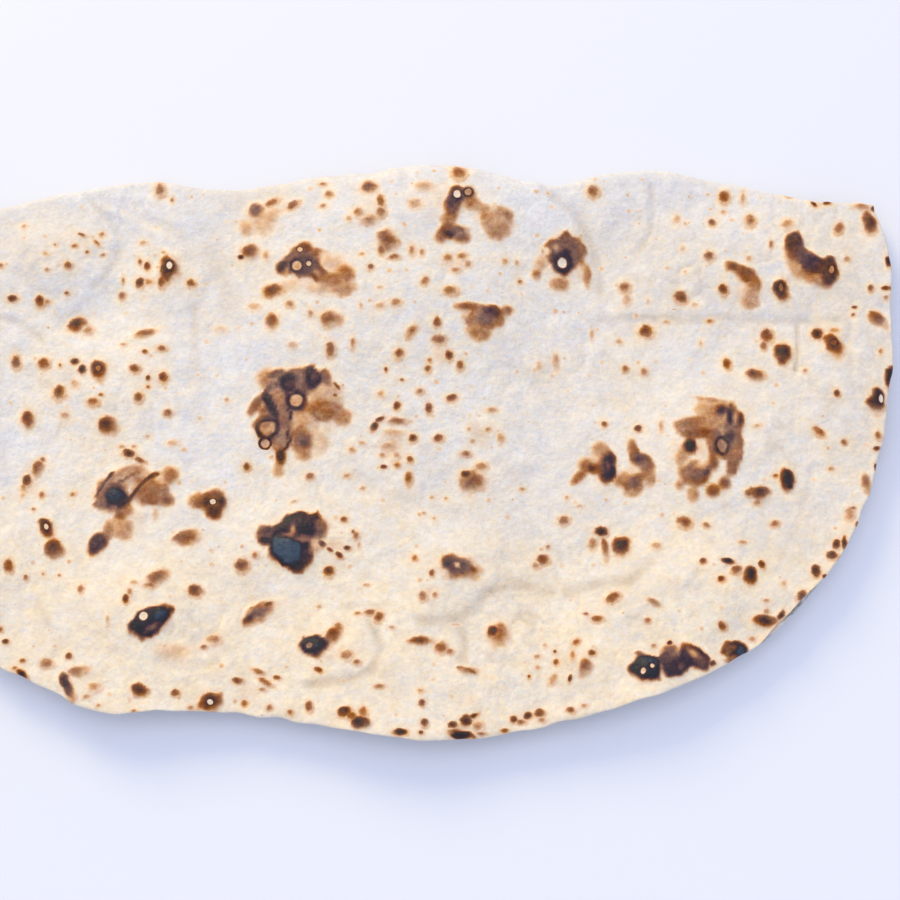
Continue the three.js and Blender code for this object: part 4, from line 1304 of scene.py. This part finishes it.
def addBurst(tree, heat, name, edgeNoise, patches):
    # a thin dark ring round a paler middle, at full sharpness whatever the mesh
    known = addNode(tree, "ShaderNodeAttribute", attribute_name=name)
    parts = addNode(tree, "ShaderNodeSeparateXYZ")
    tree.links.new(known.outputs["Vector"], parts.inputs[0])
    acrossSquared = addMath(tree, "MULTIPLY", parts.outputs[0], parts.outputs[0])
    both = addMath(tree, "MULTIPLY_ADD", parts.outputs[1], parts.outputs[1], acrossSquared)
    away = addMath(tree, "MULTIPLY_ADD", edgeNoise, 0.5, addMath(tree, "SQRT", both))
    inside = addMath(tree, "GREATER_THAN", parts.outputs[2], 0.9)
    middle = addMath(tree, "MULTIPLY", inside, addStep(tree, away, 0.5, 0.76, 1.0, 0.0))
    ring = addMath(tree, "MULTIPLY", inside, addStep(tree, away, 0.86, 1.1, 1.0, 0.0))
    ringHeat = addMath(tree, "MULTIPLY_ADD", patches, 0.12, dough["ringHeat"])
    toRing = addMath(tree, "MULTIPLY", ring, addMath(tree, "SUBTRACT", ringHeat, heat))
    ringed = addMath(tree, "ADD", heat, toRing)
    speckled = addMath(tree, "MULTIPLY_ADD", patches, 0.1, parts.outputs[2])
    middleHeat = addMath(tree, "SUBTRACT", speckled, 1.0)
    toMiddle = addMath(tree, "MULTIPLY", middle, addMath(tree, "SUBTRACT", middleHeat, ringed))
    return addMath(tree, "ADD", ringed, toMiddle)


def addSpots(tree, heat, name, edgeNoise):
    # small browned spots, darkest at their upper left, with a golden fringe
    known = addNode(tree, "ShaderNodeAttribute", attribute_name=name)
    parts = addNode(tree, "ShaderNodeSeparateXYZ")
    tree.links.new(known.outputs["Vector"], parts.inputs[0])
    acrossSquared = addMath(tree, "MULTIPLY", parts.outputs[0], parts.outputs[0])
    both = addMath(tree, "MULTIPLY_ADD", parts.outputs[1], parts.outputs[1], acrossSquared)
    away = addMath(tree, "ADD", addMath(tree, "SQRT", both), edgeNoise)
    lean = addMath(tree, "MULTIPLY", parts.outputs[0], -spotLook["leanRight"])
    lean = addMath(tree, "MULTIPLY_ADD", parts.outputs[1], spotLook["leanUp"], lean)
    core = addStep(tree, away, 0.1, 0.95, 1.08, 0.66)
    edge = addStep(tree, away, 0.62, 1.24, 1.0, 0.0)
    body = addMath(tree, "MULTIPLY", parts.outputs[2], addMath(tree, "MULTIPLY", core, edge))
    body = addMath(tree, "MULTIPLY", body, addMath(tree, "MULTIPLY_ADD", lean, spotLook["lean"], 1.0))
    fringeAway = addMath(tree, "MULTIPLY_ADD", lean, spotLook["fringeLean"], away)
    fringeHeat = addMath(tree, "MULTIPLY", parts.outputs[2], spotLook["fringeShare"])
    fringeHeat = addMath(tree, "MINIMUM", fringeHeat, 0.25)
    fringe = addMath(tree, "MULTIPLY", fringeHeat, addStep(tree, fringeAway, 0.85, 1.6, 1.0, 0.0))
    return addMath(tree, "MAXIMUM", heat, addMath(tree, "MAXIMUM", body, fringe))


def addFlecks(tree, place, heat):
    # one fleck in most cells, each with its own size and heat
    few = dough["flecks"]
    cells = addNode(tree, "ShaderNodeTexVoronoi", voronoi_dimensions="2D", in_Scale=few["scale"])
    tree.links.new(place, cells.inputs["Vector"])
    draws = addNode(tree, "ShaderNodeSeparateColor")
    tree.links.new(cells.outputs["Color"], draws.inputs[0])
    size = addNode(tree, "ShaderNodeMapRange", in_3=few["smallest"], in_4=few["largest"])
    tree.links.new(draws.outputs[0], size.inputs[0])
    away = addMath(tree, "DIVIDE", cells.outputs["Distance"], size.outputs[0])
    shape = addStep(tree, away, 0.4, 1.5, 1.0, 0.0)
    chosen = addMath(tree, "LESS_THAN", draws.outputs[1], few["share"])
    fleckHeat = addMath(tree, "MULTIPLY_ADD", draws.outputs[2], few["heat"], few["leastHeat"])
    fleck = addMath(tree, "MULTIPLY", addMath(tree, "MULTIPLY", shape, chosen), fleckHeat)
    return addMath(tree, "MAXIMUM", heat, fleck)


def addRamp(tree, heat, stops):
    # the colour for each heat
    ramp = addNode(tree, "ShaderNodeValToRGB")
    for hot, colour in stops:
        stop = hot / dough["hottest"]
        element = ramp.color_ramp.elements[0] if stop == 0 else ramp.color_ramp.elements.new(stop)
        element.color = colour
    ramp.color_ramp.elements.remove(ramp.color_ramp.elements[-1])
    tree.links.new(addMath(tree, "DIVIDE", heat, dough["hottest"]), ramp.inputs[0])
    return ramp


def addMix(tree, share, first, second):
    node = addNode(tree, "ShaderNodeMix", data_type="RGBA")
    for socket, value in zip((node.inputs[0], node.inputs[6], node.inputs[7]), (share, first, second)):
        if isinstance(value, (tuple, float)):
            socket.default_value = value
        else:
            tree.links.new(value, socket)
    return node.outputs[2]


def makeDough():
    # pale dough that is golden, brown or charred by its heat
    material = bpy.data.materials.new("bakedDough")
    material.use_nodes = True
    tree = material.node_tree
    tree.nodes.clear()
    link = tree.links.new
    output = addNode(tree, "ShaderNodeOutputMaterial")
    shader = addNode(tree, "ShaderNodeBsdfPrincipled")
    link(shader.outputs[0], output.inputs[0])
    shader.inputs["Subsurface Weight"].default_value = dough["subsurface"]
    shader.inputs["Subsurface Radius"].default_value = dough["subsurfaceRadius"]
    shader.inputs["Subsurface Scale"].default_value = dough["subsurfaceScale"]
    shader.inputs["Specular IOR Level"].default_value = dough["specular"]

    place = addNode(tree, "ShaderNodeTexCoord").outputs["Object"]

    def noise(name):
        return addNoise(tree, place, *dough[name])

    known = {}
    for name in ("toast", "warmth", "ash", "shadeAndTan"):
        known[name] = addNode(tree, "ShaderNodeAttribute", attribute_name=name).outputs["Fac"]

    # spots, flecks and burst blisters over the larger browned places
    edgeNoise = noise("edgeNoise")
    heat = addFlecks(tree, place, known["toast"])
    for name in smallSpots["sets"]:
        heat = addSpots(tree, heat, name, edgeNoise)

    # the heat is roughened most where it is high, so that brown places are mottled
    patches = noise("patchNoise")
    grain = noise("grainNoise")
    both = addMath(tree, "MULTIPLY_ADD", grain, 0.3, patches)
    amount = addStep(tree, heat, 0.0, 0.6, 0.012, 0.1)
    amount = addMath(tree, "MULTIPLY", amount, addStep(tree, heat, 0.85, 1.05, 1.0, 0.35))
    heat = addMath(tree, "MULTIPLY_ADD", both, amount, heat)
    heat = addBurst(tree, heat, "burstA", edgeNoise, patches)
    heat = addBurst(tree, heat, "burstB", edgeNoise, patches)

    # plain dough, from cool white to warm cream, with tan painted shade in the creases, wrinkles and shaded
    # places, and a random tan tone
    warm = addMath(tree, "ADD", known["warmth"], noise("warmNoise"))
    plain = addMix(tree, warm, dough["coolDough"], dough["warmDough"])
    tan = addMath(tree, "MULTIPLY", known["shadeAndTan"], noise("tanNoise"))
    plain = addMix(tree, tan, plain, dough["shadeAndTan"])
    golden = addRamp(tree, heat, dough["browning"])
    greyish = addRamp(tree, heat, dough["charring"])
    ashen = addMath(tree, "MULTIPLY", known["ash"], addStep(tree, heat, 0.32, 0.6, 0.0, 0.85))
    brown = addMix(tree, ashen, golden.outputs["Color"], greyish.outputs["Color"])
    surface = addMix(tree, golden.outputs["Alpha"], plain, brown)

    # a fine mottling over everything
    mottled = addNode(tree, "ShaderNodeHueSaturation")
    fine = noise("fineNoise")
    brightness = addMath(tree, "MULTIPLY", fine, noise("broadNoise"))
    link(brightness, mottled.inputs["Value"])
    link(noise("hueNoise"), mottled.inputs["Hue"])
    link(noise("saturationNoise"), mottled.inputs["Saturation"])
    link(surface, mottled.inputs["Color"])
    link(mottled.outputs[0], shader.inputs["Base Color"])
    roughness = addStep(tree, heat, 0.6, 1.0, dough["roughness"], dough["charRoughness"])
    link(roughness, shader.inputs["Roughness"])

    bumps = addMath(tree, "MULTIPLY_ADD", heat, 0.7, noise("pitNoise"))
    bumps = addMath(tree, "MULTIPLY_ADD", noise("hillNoise"), 1.6, bumps)
    bump = addNode(tree, "ShaderNodeBump", in_Strength=dough["bumpStrength"],
                   in_Distance=dough["bumpDistance"])
    link(bumps, bump.inputs["Height"])
    link(bump.outputs[0], shader.inputs["Normal"])
    return material


floorLook = {
    "size": 8.0,            # metres
    "colour": paint(240, 242, 252),
    "roughness": 0.7,
}


def makeFloor():
    bpy.ops.mesh.primitive_plane_add(size=floorLook["size"], location=(0, 0, 0))
    floor = bpy.context.object
    floor.name = "paleFloor"
    material = bpy.data.materials.new("paleFloor")
    material.use_nodes = True
    shader = material.node_tree.nodes["Principled BSDF"]
    shader.inputs["Base Color"].default_value = floorLook["colour"]
    shader.inputs["Roughness"].default_value = floorLook["roughness"]
    floor.data.materials.append(material)


def addLights():
    for name in ("key", "top"):
        lamp = light[name]
        bpy.ops.object.light_add(type="AREA", location=lamp["place"])
        area = bpy.context.object
        area.name = name + "Light"
        area.data.size = lamp["size"]
        area.data.energy = lamp["power"]
        area.data.color = lamp["colour"]
        area.rotation_euler = (-Vector(lamp["place"])).to_track_quat("-Z", "Y").to_euler()
    world = bpy.data.worlds.new("paleSky")
    world.use_nodes = True
    world.node_tree.nodes["Background"].inputs[0].default_value = light["skyColour"]
    world.node_tree.nodes["Background"].inputs[1].default_value = light["skyStrength"]
    bpy.context.scene.world = world
    bpy.context.scene.view_settings.view_transform = "Standard"


piece, skin, shift = buildBread()
count = thicken(piece, skin)
sheetRows = skin["heat"].shape[0] - 1
sheetColumns = skin["heat"].shape[1] - 1
layOutMap(piece, count, sheetRows, sheetColumns)
thinOut(piece, count, sheetRows, sheetColumns)
bpy.ops.object.shade_smooth()
piece.data.materials.append(makeDough())
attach(piece, "root")
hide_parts("lavash")
print("bread finished")

addCamera(shift)
makeFloor()
addLights()
print("camera, floor and lights placed")
